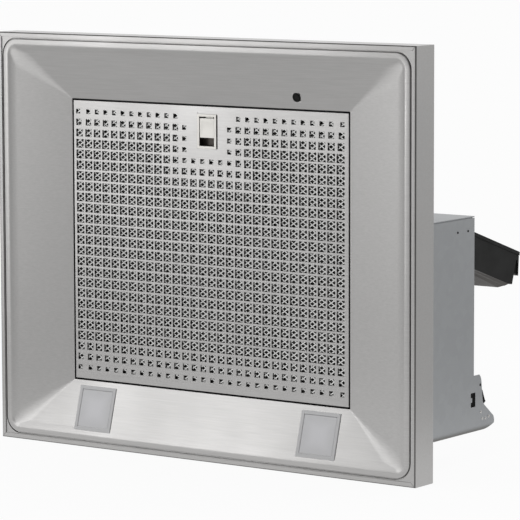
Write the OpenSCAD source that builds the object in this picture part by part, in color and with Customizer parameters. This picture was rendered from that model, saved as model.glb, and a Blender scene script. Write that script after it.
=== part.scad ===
// Built-in range hood, drawn upright with its intake face towards -Y.
// X runs to the right of the face, Y runs back through the hood and Z runs up.
// The origin is the centre of the seating plane, where the edge frame meets the cabinet.
// In use the intake face looks down and the +Z edge of the face is nearest the cook.

/* [Edge frame] */
// Width of the edge frame
frame_w = 555; // [540:1:620]
// Height of the edge frame as it stands here
frame_h = 457; // [445:1:520]
// Depth of the edge frame from its front strip to its seat
frame_depth = 35.5; // [32:0.5:45]
// Sheet thickness of the edge frame
frame_sheet = 1.2; // [1:0.1:1.5]
// Width of the strip that laps over the tray's edge
strip_w = 5.2; // [4.5:0.1:7]
// Outside radius of the fold between strip and side
fold_r = 1.6; // [1.4:0.1:2.2]
// Width of the lip that rests on the cabinet
seat_lip = 11; // [8:0.5:16]
// Open width of each mitre
mitre_gap = 0.4; // [0.2:0.1:0.8]

/* [Tray] */
// Sheet thickness of the tray
tray_sheet = 1; // [0.8:0.1:1.2]
// Distance from the frame's outer edge to the start of the slopes
band_inset = 14.4; // [12.5:0.1:18]
// Corner radius at the start of the slopes
band_r = 10; // [6:0.5:14]
// Distance from the frame's outer edge to the middle of the pressed groove
groove_inset = 7.4; // [6.8:0.1:8]
// Width of the pressed groove
groove_w = 1.6; // [1:0.1:2]
// Depth of the pressed groove
groove_depth = 0.5; // [0.3:0.1:0.6]
// Corner radius of the pressed groove
groove_r = 18; // [14:0.5:22]
// Depth of the filter opening behind the front strip
recess = 17; // [12:0.5:20]
// Width of the filter opening
opening_w = 370.6; // [360:0.2:380]
// Height of the filter opening
opening_h = 313.6; // [306:0.2:320]
// Depth of the flange behind the filter opening
pocket_depth = 14; // [11:0.5:18]

/* [Filter] */
// Gap between the filter's edge and the opening
panel_gap = 1.5; // [1.2:0.1:2]
// Thickness of the perforated plate
plate_t = 1; // [0.8:0.1:1.2]
// Thickness of the whole filter cassette
cassette_t = 14; // [13.5:0.5:16]
// Thickness of the cassette's channels
channel_t = 0.8; // [0.6:0.1:1]
// Inward reach of the cassette's channels
channel_reach = 12; // [9:0.5:15]
// Centre distance of the hole columns
hole_pitch = 12; // [11.8:0.05:12.1]
// Centre distance of the hole rows
row_pitch = 11.87; // [11.7:0.01:12]
// How far the grid of holes lies to the left of the plate's middle
grid_left = 0.9; // [0:0.1:1.5]
// How far the grid of holes lies above the plate's middle
grid_up = 0.3; // [0:0.1:1]
// Side of a full square hole
hole_side = 10; // [8:0.1:10.4]
// How much smaller each ring of holes is than the ring inside it
hole_step = 1.3; // [0.8:0.1:1.4]
// Number of hole columns
hole_cols = 30; // [28:1:30]
// Number of hole rows
hole_rows = 25; // [23:1:25]
// Side of the windows in the rear screen
screen_window = 27; // [22:0.5:28]
// Radius of the pins on which the filter swings
pivot_r = 1.25; // [1:0.05:1.5]
// Height of the pivot above the filter's lower edge
pivot_up = 5; // [4.8:0.1:6]
// Distance of the pivot behind the filter's front
pivot_back = 3.5; // [3.4:0.1:3.6]
// Running clearance of the pivot pins in their ears
pivot_clear = 0.05; // [0.02:0.01:0.1]

/* [Latch] */
// Width of the latch bezel
latch_w = 25.5; // [24:0.5:27]
// Height of the latch bezel
latch_h = 37.5; // [36:0.5:40]
// Distance from the filter's upper edge to the bezel
latch_down = 8.6; // [7:0.1:10]
// Width of the bezel's rim
latch_rim = 3; // [2.6:0.1:3.4]
// Gap beside the bezel, where the plate's cut-out is wider than the bezel
latch_side_gap = 0.9; // [0.5:0.1:1]
// How far the bezel stands proud of the plate
latch_proud = 1.2; // [0.6:0.1:1.5]
// Depth of the latch cup behind the plate's front
latch_depth = 12.6; // [12:0.1:13]
// Travel of the latch tab
latch_travel = 7; // [5:0.5:7]
// Visible height of the latch tab
tab_h = 21; // [19:0.5:22]
// Width of the bolt
bolt_w = 10; // [8:0.5:12]
// How far the bolt reaches above the filter's upper edge
bolt_reach = 5; // [4:0.5:6]

/* [Lamps and button] */
// Width of the slope that is left below each square lamp
lamp_gap_low = 3.6; // [2.5:0.1:4.5]
// Width of the slope that is left above each square lamp
lamp_gap_high = 5.84; // [5:0.01:8]
// Width of the lamp's bezel beside its lens
lamp_rim = 4; // [3:0.5:5]
// Distance of each lamp's middle from the hood's middle
lamp_x = 150; // [130:1:156]
// Depth of the lamp behind the slope
lamp_depth = 12; // [10:0.5:14]
// Outside radius of the button's bezel
button_r = 5; // [4.5:0.1:5.5]
// Radius of the button's cap
button_cap_r = 3.7; // [3:0.1:3.8]
// Distance of the button from the hood's middle
button_x = 119.5; // [100:0.5:140]
// Distance of the button from the end of the slope, at the filter opening
button_gap = 12.84; // [11.4:0.01:29]
// Travel of the button
button_travel = 1; // [0.6:0.1:1.2]

/* [Housing] */
// Distance of the housing's sides from the hood's middle
housing_x = 246; // [240:0.5:248]
// Distance of the housing's floor from the frame's lower edge
housing_margin = 31.2; // [29.5:0.1:36]
// Distance of the motor housing's top above the hood's middle
housing_top = 38.4; // [37.4:0.1:60]
// Sheet thickness of the housing
housing_sheet = 1; // [0.8:0.1:1.2]
// Outside bend radius of the housing's floor
bend_r = 7; // [4:0.5:10]
// Depth of the air box behind the seating plane
air_box_back = 28; // [22:0.5:30]
// Depth of the motor housing behind the seating plane
housing_back = 129; // [128:0.5:140]
// How far the rear panel is set in from the housing's back edge
panel_inset = 8; // [6:0.5:8.5]
// Height of the ears above the housing's floor
ear_h = 62.8; // [58:0.2:66]
// Radius of the fixing hole in each ear
ear_hole_r = 1.6; // [1.2:0.1:2]
// Radius of the side fixing holes of the air box
side_hole_r = 2.25; // [2:0.05:2.75]
// Vertical distance between the side fixing holes
side_hole_spacing = 300; // [280:5:320]
// Radius of the heads of the small screws in the housing's sides
screw_r = 1.3; // [1.1:0.1:1.8]

/* [Blower] */
// Distance of the blower's middle from the hood's middle
blower_x = 135; // [131:0.5:137]
// Inside width of the blower scroll
scroll_w = 173; // [165:0.5:175]
// Sheet thickness of the scroll
scroll_sheet = 1.5; // [1.2:0.1:1.8]
// Radius of the scroll at its tongue
scroll_r0 = 48; // [47:0.1:48.5]
// Growth of the scroll's radius up to its top
scroll_growth = 19; // [17:0.1:19.2]
// Outside radius of the fan wheel
wheel_r = 44; // [40:0.5:44.5]
// Inside radius of the blade ring
blade_in_r = 36; // [34:0.5:37]
// Number of fan blades
blade_count = 32; // [24:1:36]
// Radius of the inlet rings
inlet_r = 37; // [34:0.5:38]
// Radius of the motor shaft
shaft_r = 4; // [3:0.1:5]
// Radius of the motor
motor_r = 42; // [36:0.5:43]
// Length of the motor
motor_len = 62; // [50:1:70]

/* [Outlet] */
// Slope of the outlet below the horizontal, in degrees
outlet_tilt = 18; // [16:0.5:19]
// Outside width of the outlet duct
outlet_w = 190; // [184:0.5:194]
// Outside height of the outlet duct
outlet_h = 38.5; // [37:0.5:42]
// Wall thickness of the outlet duct
outlet_wall = 2; // [1.6:0.1:2.4]
// Length of the outlet duct up to its end
outlet_len = 129; // [110:1:140]
// How far the collar's lower edge stands out of the duct's end
collar_len = 11; // [6:0.5:12]
// Height of the duct's end that shows below the collar
collar_up = 13; // [8:0.5:14]
// How far the middle of the duct's underside drops below its sides at the end
belly_depth = 4.8; // [3:0.1:6]
// Thickness of the outlet's cover
cover_t = 4; // [3:0.5:5]
// Thickness of the backdraft flaps
flap_t = 1.2; // [1:0.1:1.5]
// Radius of the mains inlet
inlet_bore_r = 4; // [3.5:0.1:5]

/* [Hidden] */
$fn = 48;
eps = 0.01;
// Gap between a piece and what carries it
seat = 0.3;

steel = [0.72, 0.72, 0.71];
dull_steel = [0.56, 0.57, 0.58];
black = [0.12, 0.12, 0.12];
white = [0.85, 0.86, 0.86];
dark_grey = [0.3, 0.3, 0.31];

front_y = -frame_depth;
tray_y = front_y + frame_sheet;
opening_y = front_y + recess;
slope_run = opening_y - tray_y;
half_w = frame_w / 2;
half_h = frame_h / 2;
// Height of the upper and lower slopes, and their tilt
slope_rise = half_h - band_inset - opening_h / 2;
slope_tilt = atan(slope_run / slope_rise);
slope_len = slope_rise / cos(slope_tilt);
// The square lamps fill the lower slope but for the gaps above and below them
lamp_side = slope_len - lamp_gap_low - lamp_gap_high;
lens_side = lamp_side - 2 * lamp_rim;
lamp_along = lamp_gap_low + lamp_side / 2;
button_along = slope_len - button_gap;
housing_low = half_h - housing_margin;

panel_w = opening_w - 2 * panel_gap;
panel_h = opening_h - 2 * panel_gap;
panel_back = opening_y + cassette_t;
hinge_z = -panel_h / 2 + pivot_up;
hinge_y = opening_y + pivot_back;

latch_top = panel_h / 2 - latch_down;
latch_mid = latch_top - latch_h / 2;
latch_low = latch_top - latch_h;
window_w = latch_w - 2 * latch_rim;
window_top = latch_top - latch_rim;
window_low = latch_low + latch_rim;
tab_low = window_top - 1.6 - tab_h;
bolt_y = opening_y + 5;
bolt_t = 2;
bolt_top = panel_h / 2 + bolt_reach;

panel_y = housing_back - panel_inset;
scroll_r_top = scroll_r0 + scroll_growth;
scroll_r_out = scroll_r0 + scroll_growth * (270 + outlet_tilt) / 270;
blower_y = panel_y - seat - scroll_sheet - scroll_r0 - 2.2;
// The outlet starts near the lid, and the scroll's upper wall runs just below it
outlet_top_z = housing_top - 10.1;
outlet_start_y = panel_y + housing_sheet;
blower_z = housing_top - housing_sheet - 1.8 - scroll_sheet - scroll_r_top;
scroll_mouth = 33;

// A flat shape of x and z, made into a plate from y towards the back
module plate_y(y, t) {
  translate([0, y + t, 0])
    rotate([90, 0, 0])
      linear_extrude(t)
        children();
}

// A flat shape of y and z, stretched along X from x
module run_x(x, length) {
  translate([x, 0, 0])
    rotate([90, 0, 90])
      linear_extrude(length)
        children();
}

module box(low, high) {
  translate(low)
    cube(high - low);
}

module rod_x(x, y, z, r, length) {
  translate([x, y, z])
    rotate([0, 90, 0])
      cylinder(r = r, h = length);
}

module rod_y(x, y, z, r, length) {
  translate([x, y, z])
    rotate([-90, 0, 0])
      cylinder(r = r, h = length);
}

module rounded_rect(w, h, r) {
  square([w - 2 * r, h], center = true);
  square([w, h - 2 * r], center = true);
  for (x = [-1, 1], z = [-1, 1])
    translate([x * (w / 2 - r), z * (h / 2 - r)])
      circle(r);
}

// Local frames on the lower and the upper slope: X along the hood, Y into it, Z up the slope
module on_lower_slope(x, along) {
  translate([x, tray_y, -half_h + band_inset])
    rotate([-slope_tilt, 0, 0])
      translate([0, 0, along])
        children();
}

module on_upper_slope(x, along) {
  translate([x, tray_y, half_h - band_inset])
    rotate([slope_tilt, 0, 0])
      translate([0, 0, -along])
        children();
}

// Edge frame: four mitred rails, each with a front strip, a side and a seat lip

module rail_profile() {
  difference() {
    union() {
      translate([0, fold_r])
        square([frame_sheet, frame_depth - fold_r]);
      translate([fold_r, 0])
        square([strip_w - fold_r, frame_sheet]);
      translate([0, frame_depth - frame_sheet])
        square([seat_lip, frame_sheet]);
      intersection() {
        translate([fold_r, fold_r])
          circle(fold_r);
        square(fold_r);
      }
    }
    intersection() {
      translate([fold_r, fold_r])
        circle(fold_r - frame_sheet);
      square(fold_r);
    }
  }
}

module rail(length) {
  reach = seat_lip + 2;
  intersection() {
    translate([-length / 2, front_y, 0])
      rotate([90, 0, 90])
        linear_extrude(length)
          mirror([1, -1])
            rail_profile();
    plate_y(front_y - 1, frame_depth + 2)
      polygon([
        [-length / 2 + mitre_gap / 2, 0], [length / 2 - mitre_gap / 2, 0],
        [length / 2 - mitre_gap / 2 - reach, reach], [-length / 2 + mitre_gap / 2 + reach, reach]]);
  }
}

module edge_frame() {
  color(steel)
    for (turn = [0, 180]) {
      rotate([0, turn, 0])
        translate([0, 0, -half_h])
          rail(frame_w);
      rotate([0, turn + 90, 0])
        translate([0, 0, -half_w])
          rail(frame_h);
    }
}

// Tray: one pressed sheet with a groove, four slopes and a flange round the filter opening

module tray_hollow(shift) {
  translate([0, shift, 0]) {
    hull() {
      plate_y(front_y - 5, tray_y - front_y + 5)
        rounded_rect(frame_w - 2 * band_inset, frame_h - 2 * band_inset, band_r, $fn = 32);
      plate_y(opening_y - eps, eps)
        square([opening_w, opening_h], center = true);
    }
    plate_y(opening_y - 0.5, pocket_depth + 5)
      square([opening_w, opening_h], center = true);
  }
}

module tray_sheet_solid() {
  edge = 2 * (frame_sheet + seat);
  flange = 2 * tray_sheet;
  difference() {
    union() {
      plate_y(tray_y, tray_sheet)
        square([frame_w - edge, frame_h - edge], center = true);
      intersection() {
        tray_hollow(tray_sheet);
        box([-half_w, tray_y, -half_h], [half_w, opening_y + tray_sheet, half_h]);
      }
      plate_y(opening_y, pocket_depth)
        square([opening_w + flange, opening_h + flange], center = true);
    }
    tray_hollow(0);
  }
}

module tray() {
  outer_w = frame_w - 2 * groove_inset + groove_w;
  outer_h = frame_h - 2 * groove_inset + groove_w;
  inner_w = outer_w - 2 * groove_w;
  inner_h = outer_h - 2 * groove_w;
  lamp_hole = lens_side + 4;
  color(steel)
    difference() {
      tray_sheet_solid();
      plate_y(tray_y - 1, 1 + groove_depth)
        difference() {
          rounded_rect(outer_w, outer_h, groove_r + groove_w / 2);
          rounded_rect(inner_w, inner_h, groove_r - groove_w / 2);
        }
      for (side = [-1, 1])
        on_lower_slope(side * lamp_x, lamp_along)
          box([-lamp_hole / 2, -5, -lamp_hole / 2], [lamp_hole / 2, 10, lamp_hole / 2]);
      on_upper_slope(button_x, button_along)
        rod_y(0, -3, 0, button_cap_r + 0.9, 8);
      // The bolt's slot in the flange, and the holes that the pivot pins pass through
      box(
        [-bolt_w / 2 - 1, bolt_y - bolt_t / 2 - 1, opening_h / 2 - 1],
        [bolt_w / 2 + 1, bolt_y + bolt_t / 2 + 1, opening_h / 2 + tray_sheet + 1]);
      rod_x(-half_w, hinge_y, hinge_z, pivot_r + 0.4, frame_w);
    }
}

// Two ears welded behind the tray carry the pivot pins
module hinge_ears() {
  inner = opening_w / 2 + tray_sheet;
  color(dull_steel)
    for (side = [-1, 1])
      difference() {
        union() {
          mirror([side < 0 ? 1 : 0, 0, 0])
            box(
              [inner, hinge_y - 1.8, hinge_z - 3.5],
              [inner + 1.5, hinge_y + 9, hinge_z + 12]);
          mirror([side < 0 ? 1 : 0, 0, 0])
            rod_x(inner, hinge_y, hinge_z, pivot_r + 1.1, 3);
        }
        rod_x(side > 0 ? inner - 1 : -inner - 5, hinge_y, hinge_z, pivot_r + pivot_clear, 6);
      }
}

// Push button with its bezel ring and its switch, on the upper slope

module button_bezel() {
  color(black)
    on_upper_slope(button_x, button_along)
      difference() {
        union() {
          rod_y(0, -0.8, 0, button_r, 0.8);
          rod_y(0, 0, 0, button_cap_r + 0.7, 4);
        }
        rod_y(0, -1, 0, button_cap_r + 0.25, 6);
      }
}

module control_button() {
  color(black)
    on_upper_slope(button_x, button_along) {
      rod_y(0, -0.9, 0, button_cap_r, 5);
      rod_y(0, 4, 0, 1.5, 2.2);
    }
}

module button_switch() {
  color(dark_grey)
    on_upper_slope(button_x, button_along)
      difference() {
        box([-7, 4, -7], [7, 13, 7]);
        rod_y(0, 3.5, 0, button_cap_r + 0.4, 3.5 + button_travel);
        rod_y(0, 6, 0, 1.8, 0.5 + button_travel);
      }
}

// Square lamps set into the lower slope

module lamp_body(side) {
  outer = lamp_side / 2;
  tub = lens_side / 2 + 1.6;
  color(white)
    on_lower_slope(side * lamp_x, lamp_along)
      difference() {
        union() {
          box([-outer, -0.9, -outer], [outer, -eps, outer]);
          box([-tub, -0.5, -tub], [tub, lamp_depth, tub]);
        }
        box([-lens_side / 2, -2, -lens_side / 2], [lens_side / 2, lamp_depth - 1.5, lens_side / 2]);
      }
}

module lamp_lens(side) {
  half = lens_side / 2 - 0.2;
  color([0.9, 0.9, 0.9])
    on_lower_slope(side * lamp_x, lamp_along)
      box([-half, -0.5, -half], [half, 1.5, half]);
}

module lamp_board(side) {
  half = lens_side / 2 - 0.5;
  color([0.2, 0.45, 0.25])
    on_lower_slope(side * lamp_x, lamp_along) {
      box([-half, lamp_depth - 3.1, -half], [half, lamp_depth - 1.5, half]);
      for (x = [-1, 1], z = [-1, 1])
        box([x * 9 - 1.5, lamp_depth - 4.1, z * 9 - 1.5], [x * 9 + 1.5, lamp_depth - 3.1, z * 9 + 1.5]);
    }
}

// Filter cassette

// Rings of smaller holes run along the upper and lower edges and round the latch
function edge_ring(row) = min(row, hole_rows - 1 - row);
function latch_ring(col, row) =
  let (mid = (hole_cols - 1) / 2, across = abs(col - mid) - 1.5, down = row - 3)
  max(across, down) - 1;
function ring(col, row) = max(0, min(3, edge_ring(row), latch_ring(col, row)));
function blank(col, row) =
  let (off = abs(col - (hole_cols - 1) / 2))
  (row <= 3 && off < 2) || (row == 0 && off < 3);
// In the outer columns the small holes keep to the outside of the full ones
function outward(col, side) =
  (col == 0 ? -1 : col == hole_cols - 1 ? 1 : 0) * (hole_side - side) / 2;

module filter_holes() {
  for (col = [0:hole_cols - 1], row = [0:hole_rows - 1])
    if (!blank(col, row)) {
      side = hole_side - hole_step * (3 - ring(col, row));
      x = (col - (hole_cols - 1) / 2) * hole_pitch - grid_left + outward(col, side);
      z = ((hole_rows - 1) / 2 - row) * row_pitch + grid_up;
      translate([x, z])
        square(side, center = true);
    }
}

module latch_window_2d(margin) {
  translate([0, latch_mid])
    square([latch_w - 2 * margin, latch_h - 2 * margin], center = true);
}

module filter_plate() {
  color(steel)
    plate_y(opening_y, plate_t)
      difference() {
        square([panel_w, panel_h], center = true);
        filter_holes();
        translate([0, latch_mid])
          square([latch_w + 2 * latch_side_gap, latch_h - 2], center = true);
      }
}

module filter_channels() {
  inner_w = panel_w - 2 * channel_t;
  inner_h = panel_h - 2 * channel_t;
  y0 = opening_y + plate_t;
  color(dull_steel)
    difference() {
      plate_y(y0, cassette_t - plate_t)
        square([panel_w, panel_h], center = true);
      plate_y(y0 - 1, cassette_t - plate_t - channel_t + 1)
        square([inner_w, inner_h], center = true);
      plate_y(y0, cassette_t + 1)
        square([panel_w - 2 * channel_reach, panel_h - 2 * channel_reach], center = true);
      box(
        [-bolt_w / 2 - 0.5, bolt_y - bolt_t / 2 - 0.4, panel_h / 2 - channel_t - 1],
        [bolt_w / 2 + 0.5, bolt_y + bolt_t / 2 + 0.4, panel_h / 2 + 1]);
    }
}

module filter_pad() {
  gap = channel_t + 0.2;
  y0 = opening_y + plate_t;
  color([0.6, 0.6, 0.58])
    difference() {
      plate_y(y0 + 0.2, 9.5)
        square([panel_w - 2 * gap, panel_h - 2 * gap], center = true);
      box(
        [-latch_w / 2 - 1, y0 - 1, latch_low - 1],
        [latch_w / 2 + 1, y0 + 20, panel_h / 2]);
    }
}

module filter_screen() {
  gap = channel_t + 0.2;
  y0 = opening_y + plate_t + 9.9;
  bar = 5;
  step = screen_window + bar;
  across = floor((panel_w - 2 * channel_reach) / step);
  up = floor((panel_h - 2 * channel_reach) / step);
  color(dull_steel)
    difference() {
      plate_y(y0, 1)
        square([panel_w - 2 * gap, panel_h - 2 * gap], center = true);
      plate_y(y0 - 1, 3) {
        for (i = [0:across - 1], k = [0:up - 1])
          translate([(i - (across - 1) / 2) * step, (k - (up - 1) / 2) * step])
            square(screen_window, center = true);
        latch_window_2d(-1);
      }
    }
}

module filter_pivots() {
  reach = opening_w / 2 + tray_sheet + 2.6;
  color(dull_steel)
    for (side = [-1, 1])
      mirror([side < 0 ? 1 : 0, 0, 0])
        rod_x(panel_w / 2, hinge_y, hinge_z, pivot_r, reach - panel_w / 2);
}

// Latch: cup and bezel fixed in the plate, a sprung tab with its bolt

module latch_cup() {
  cup_w = latch_w - 2.4;
  y0 = opening_y - latch_proud;
  y1 = opening_y + latch_depth;
  wall = 1;
  inner_w = cup_w - 2 * wall;
  color(steel)
    difference() {
      union() {
        plate_y(y0, latch_proud)
          latch_window_2d(0);
        box([-cup_w / 2, opening_y - eps, latch_low + 1.2], [cup_w / 2, y1, latch_top - 1.2]);
      }
      // Window, finger recess and the tab's way
      box([-window_w / 2, y0 - 1, window_low], [window_w / 2, opening_y + 7, window_top]);
      box(
        [-bolt_w / 2 - 0.5, bolt_y - bolt_t / 2 - 0.4, tab_low + 8],
        [bolt_w / 2 + 0.5, y1 - wall, latch_top]);
      // Channel for the spring and the tab's foot
      box([-2.4, opening_y + 7.6, window_low], [2.4, y1 - wall, latch_top - 3]);
      box([-2.4, opening_y + 6, tab_low + 1], [2.4, opening_y + 8, latch_top - 3]);
    }
}

module latch_tab() {
  half = window_w / 2 - 0.4;
  tab_top = tab_low + tab_h;
  foot_low = tab_low + 8.4;
  color(white) {
    difference() {
      box([-half, opening_y - 0.6, tab_low], [half, opening_y + 2.4, tab_top]);
      // A shallow dish for the finger
      translate([0, opening_y - 40 + 0.1, tab_low + tab_h / 2])
        rotate([0, 90, 0])
          cylinder(r = 40, h = window_w - 6, center = true, $fn = 160);
    }
    box([-bolt_w / 2, opening_y + 2.4, tab_top - 6], [bolt_w / 2, bolt_y + bolt_t / 2, tab_top]);
    box([-bolt_w / 2, bolt_y - bolt_t / 2, tab_top - 6], [bolt_w / 2, bolt_y + bolt_t / 2, bolt_top]);
    box([-2, bolt_y + bolt_t / 2, tab_top - 6], [2, opening_y + 11, tab_top - 2]);
  }
}

module latch_spring() {
  tab_top = tab_low + tab_h;
  low = window_low + 0.2;
  color(dull_steel)
    translate([0, opening_y + 9.6, low])
      difference() {
        cylinder(r = 1.8, h = tab_top - 6.2 - low);
        translate([0, 0, -1])
          cylinder(r = 1.1, h = 60);
      }
}

// Air box behind the tray

module air_box() {
  // The box stops short of the tray, whose slope is deepest over the box's upper edge
  front = tray_y + tray_sheet + slope_run * (half_h - housing_low - band_inset) / slope_rise + seat + 0.2;
  t = housing_sheet;
  window_x = housing_x - 8;
  tub = lens_side / 2 + 2.6;
  color(dull_steel)
    difference() {
      box([-housing_x, front, -housing_low], [housing_x, air_box_back, housing_low]);
      box([-housing_x + t, front - 1, -housing_low + t], [housing_x - t, air_box_back - t, housing_low - t]);
      box([-window_x, 0, -housing_low + 8], [window_x, air_box_back + 1, housing_top - 8]);
      for (z = [-1, 1])
        rod_x(-housing_x - 1, 10, z * side_hole_spacing / 2, side_hole_r, 2 * housing_x + 2);
      // Notches for the lamps
      for (side = [-1, 1])
        on_lower_slope(side * lamp_x, lamp_along)
          box([-tub, -5, -tub], [tub, lamp_depth + 1, tub]);
    }
}

// Motor housing: a folded wrapper whose sides end in ears, a lid and a rear panel

ear_back = housing_back + 41.5;
floor_back = housing_back + 26;
ear_hole = [housing_back + 13.2, -housing_low + 51.4];

module wrapper_outline() {
  difference() {
    union() {
      translate([-housing_x, -housing_low + bend_r])
        square([2 * housing_x, housing_low + housing_top - bend_r - housing_sheet]);
      translate([-housing_x + bend_r, -housing_low])
        square([2 * (housing_x - bend_r), bend_r + eps]);
      for (side = [-1, 1])
        translate([side * (housing_x - bend_r), -housing_low + bend_r])
          circle(bend_r);
    }
    translate([-housing_x + housing_sheet, -housing_low + bend_r])
      square([2 * (housing_x - housing_sheet), housing_low + housing_top]);
    translate([-housing_x + bend_r, -housing_low + housing_sheet])
      square([2 * (housing_x - bend_r), bend_r]);
    for (side = [-1, 1])
      translate([side * (housing_x - bend_r), -housing_low + bend_r])
        circle(bend_r - housing_sheet);
  }
}

module side_outline() {
  low = -housing_low;
  // The ear steps out near its top, then runs out to a chamfered tip at the bottom
  polygon([
    [0, low - 1], [floor_back, low - 1], [floor_back, low], [ear_back, low + 6.5],
    [ear_back + 0.6, low + 10], [ear_back - 1, low + 14.3], [ear_back - 21.5, low + 30],
    [ear_back - 23.2, low + 33.5], [ear_back - 24.8, low + 46], [ear_back - 26, low + 56],
    [ear_back - 27.5, low + 60], [ear_back - 30, low + ear_h],
    [housing_back, low + ear_h], [housing_back, housing_top + 1], [0, housing_top + 1]]);
}

clip_low = -housing_low + 28.8;
clip_high = -housing_low + 44.3;
clip_y = housing_back - 6;

module housing_wrapper() {
  color(dull_steel)
    difference() {
      plate_y(air_box_back, ear_back - air_box_back + 2)
        wrapper_outline();
      difference() {
        box(
          [-housing_x - 1, air_box_back - 1, -housing_low - 2],
          [housing_x + 1, ear_back + 5, housing_top + 2]);
        run_x(-housing_x - 2, 2 * housing_x + 4)
          side_outline();
      }
      // The floor ends before the ears do
      box([-housing_x + bend_r, floor_back, -housing_low - 1], [housing_x - bend_r, ear_back + 3, 0]);
      for (side = [-1, 1])
        translate([side * housing_x, 0, 0])
          box([-3, clip_y, clip_low], [3, clip_y + 9.2, clip_high]);
      rod_x(-housing_x - 1, ear_hole[0], ear_hole[1], ear_hole_r, 2 * housing_x + 2);
    }
}

module housing_lid() {
  drop = 12;
  side_in = housing_x - housing_sheet - 0.2;
  color(dull_steel) {
    box([-housing_x, air_box_back, housing_top - housing_sheet], [housing_x, housing_back, housing_top]);
    for (side = [-1, 1])
      mirror([side < 0 ? 1 : 0, 0, 0])
        box(
          [side_in - housing_sheet, air_box_back + 4, housing_top - housing_sheet - drop],
          [side_in, housing_back - 2, housing_top - housing_sheet]);
  }
}

module rear_panel() {
  t = housing_sheet;
  side_in = housing_x - housing_sheet - seat;
  lid_low = housing_top - housing_sheet - seat;
  color(dull_steel)
    difference() {
      box([-side_in, panel_y, -housing_low + housing_sheet + seat], [side_in, panel_y + t, lid_low]);
      // Corners cleared for the bends and for the lid's flanges
      for (side = [-1, 1]) {
        translate([side * housing_x, panel_y, -housing_low])
          cube([4 * bend_r, 5, 2 * bend_r], center = true);
        translate([side * housing_x, panel_y, housing_top])
          cube([8, 5, 32], center = true);
        translate([side * (housing_x - 4.5), panel_y, (clip_low + clip_high) / 2])
          cube([12, 5, clip_high - clip_low + 6], center = true);
      }
      box(
        [blower_x - outlet_w / 2 + 6, panel_y - 1, mouth_low + 1],
        [blower_x + outlet_w / 2 - 6, panel_y + 2, outlet_top_z - cover_t]);
      rod_y(gland_x, panel_y - 1, gland_z, gland_r + 0.2, 4);
    }
}

// Distances of the small screws from the housing's back edge, and from its top
screw_back = [33.3, 12.9];
screw_down = 15;
// Places of the rivets: behind the housing's back edge, and above its floor
rivet_places = [[14.5, 21.5], [17.6, 14.2], [24, 13.6], [30.6, 14.9]];
rivet_r = 1.5;

module housing_screws() {
  color(black)
    for (side = [-1, 1], back = screw_back)
      mirror([side < 0 ? 1 : 0, 0, 0])
        rod_x(housing_x, housing_back - back, housing_top - screw_down, screw_r, 0.5);
}

module ear_rivets() {
  color(dull_steel)
    for (side = [-1, 1], place = rivet_places)
      mirror([side < 0 ? 1 : 0, 0, 0])
        rod_x(housing_x, housing_back + place[0], -housing_low + place[1], rivet_r, 0.6);
}

// Snap clips show through the slots beside the ears, and their noses stand out behind
module snap_clip(side) {
  inside = housing_x - housing_sheet;
  color(black)
    mirror([side < 0 ? 1 : 0, 0, 0]) {
      run_x(inside - 6, 6)
        polygon([
          [clip_y - 2, clip_low - 2], [clip_y + 22, clip_low - 2], [clip_y + 30.4, clip_low + 3.2],
          [clip_y + 29, clip_low + 4.6], [clip_y + 23.6, clip_low + 16.5], [clip_y - 2, clip_high + 2]]);
      box([inside, clip_y + 0.3, clip_low + 0.3], [inside + 0.5, clip_y + 8.9, clip_high - 0.3]);
    }
}

// Blower: scroll, wheel, motor

function scroll_r(turn) = scroll_r0 + scroll_growth * turn / 270;
function scroll_point(turn, extra) =
  [blower_y + (scroll_r(turn) + extra) * cos(turn), blower_z - (scroll_r(turn) + extra) * sin(turn)];
// Unit vectors along the outlet and square to it
outlet_dir = [cos(outlet_tilt), -sin(outlet_tilt)];
outlet_up = [sin(outlet_tilt), cos(outlet_tilt)];
end_turn = 270 + outlet_tilt;
scroll_end = panel_y - seat;
// A point on a line square to the outlet at the given height, where y reaches the panel
function at_panel(height) =
  let (y = scroll_end, z = blower_z + (height - sin(outlet_tilt) * (y - blower_y)) / cos(outlet_tilt))
  [y, z];
tongue_up = scroll_r_out - scroll_mouth;
tongue_along = sqrt(scroll_r0 * scroll_r0 - tongue_up * tongue_up);
tongue_turn = atan2(-(tongue_up * cos(outlet_tilt) - tongue_along * sin(outlet_tilt)),
  tongue_up * sin(outlet_tilt) + tongue_along * cos(outlet_tilt));
turn_steps = 32;

function scroll_outline(extra) =
  concat(
    [at_panel(tongue_up - extra)],
    [for (i = [0:turn_steps])
      scroll_point(tongue_turn + (end_turn - tongue_turn) * i / turn_steps, extra)],
    [at_panel(scroll_r_out + extra)]);

module scroll_wrap() {
  half = scroll_w / 2;
  color(dull_steel)
    difference() {
      run_x(blower_x - half, scroll_w)
        polygon(scroll_outline(scroll_sheet));
      run_x(blower_x - half - 1, scroll_w + 2)
        polygon(concat(
          [at_panel(tongue_up) + [1, -tan(outlet_tilt)]],
          [for (i = [0:turn_steps])
            scroll_point(tongue_turn + (end_turn - tongue_turn) * i / turn_steps, 0)],
          [at_panel(scroll_r_out) + [1, -tan(outlet_tilt)]]));
    }
}

module scroll_side(side) {
  x = side > 0 ? blower_x + scroll_w / 2 : blower_x - scroll_w / 2 - scroll_sheet;
  color(dull_steel)
    difference() {
      run_x(x, scroll_sheet)
        polygon(scroll_outline(scroll_sheet));
      rod_x(x - 1, blower_y, blower_z, inlet_r + 1, scroll_sheet + 2);
    }
}

module inlet_ring(side) {
  x = blower_x + side * (scroll_w / 2 + scroll_sheet);
  color(dark_grey)
    translate([x, blower_y, blower_z])
      rotate([0, side * 90, 0])
        rotate_extrude()
          polygon([
            [inlet_r - 2, -4], [inlet_r, -4], [inlet_r + 0.8, -scroll_sheet], [inlet_r + 0.8, 0],
            [inlet_r + 5, 0], [inlet_r + 5, 2], [inlet_r + 1.6, 2], [inlet_r - 0.6, 0.6]]);
}

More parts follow.
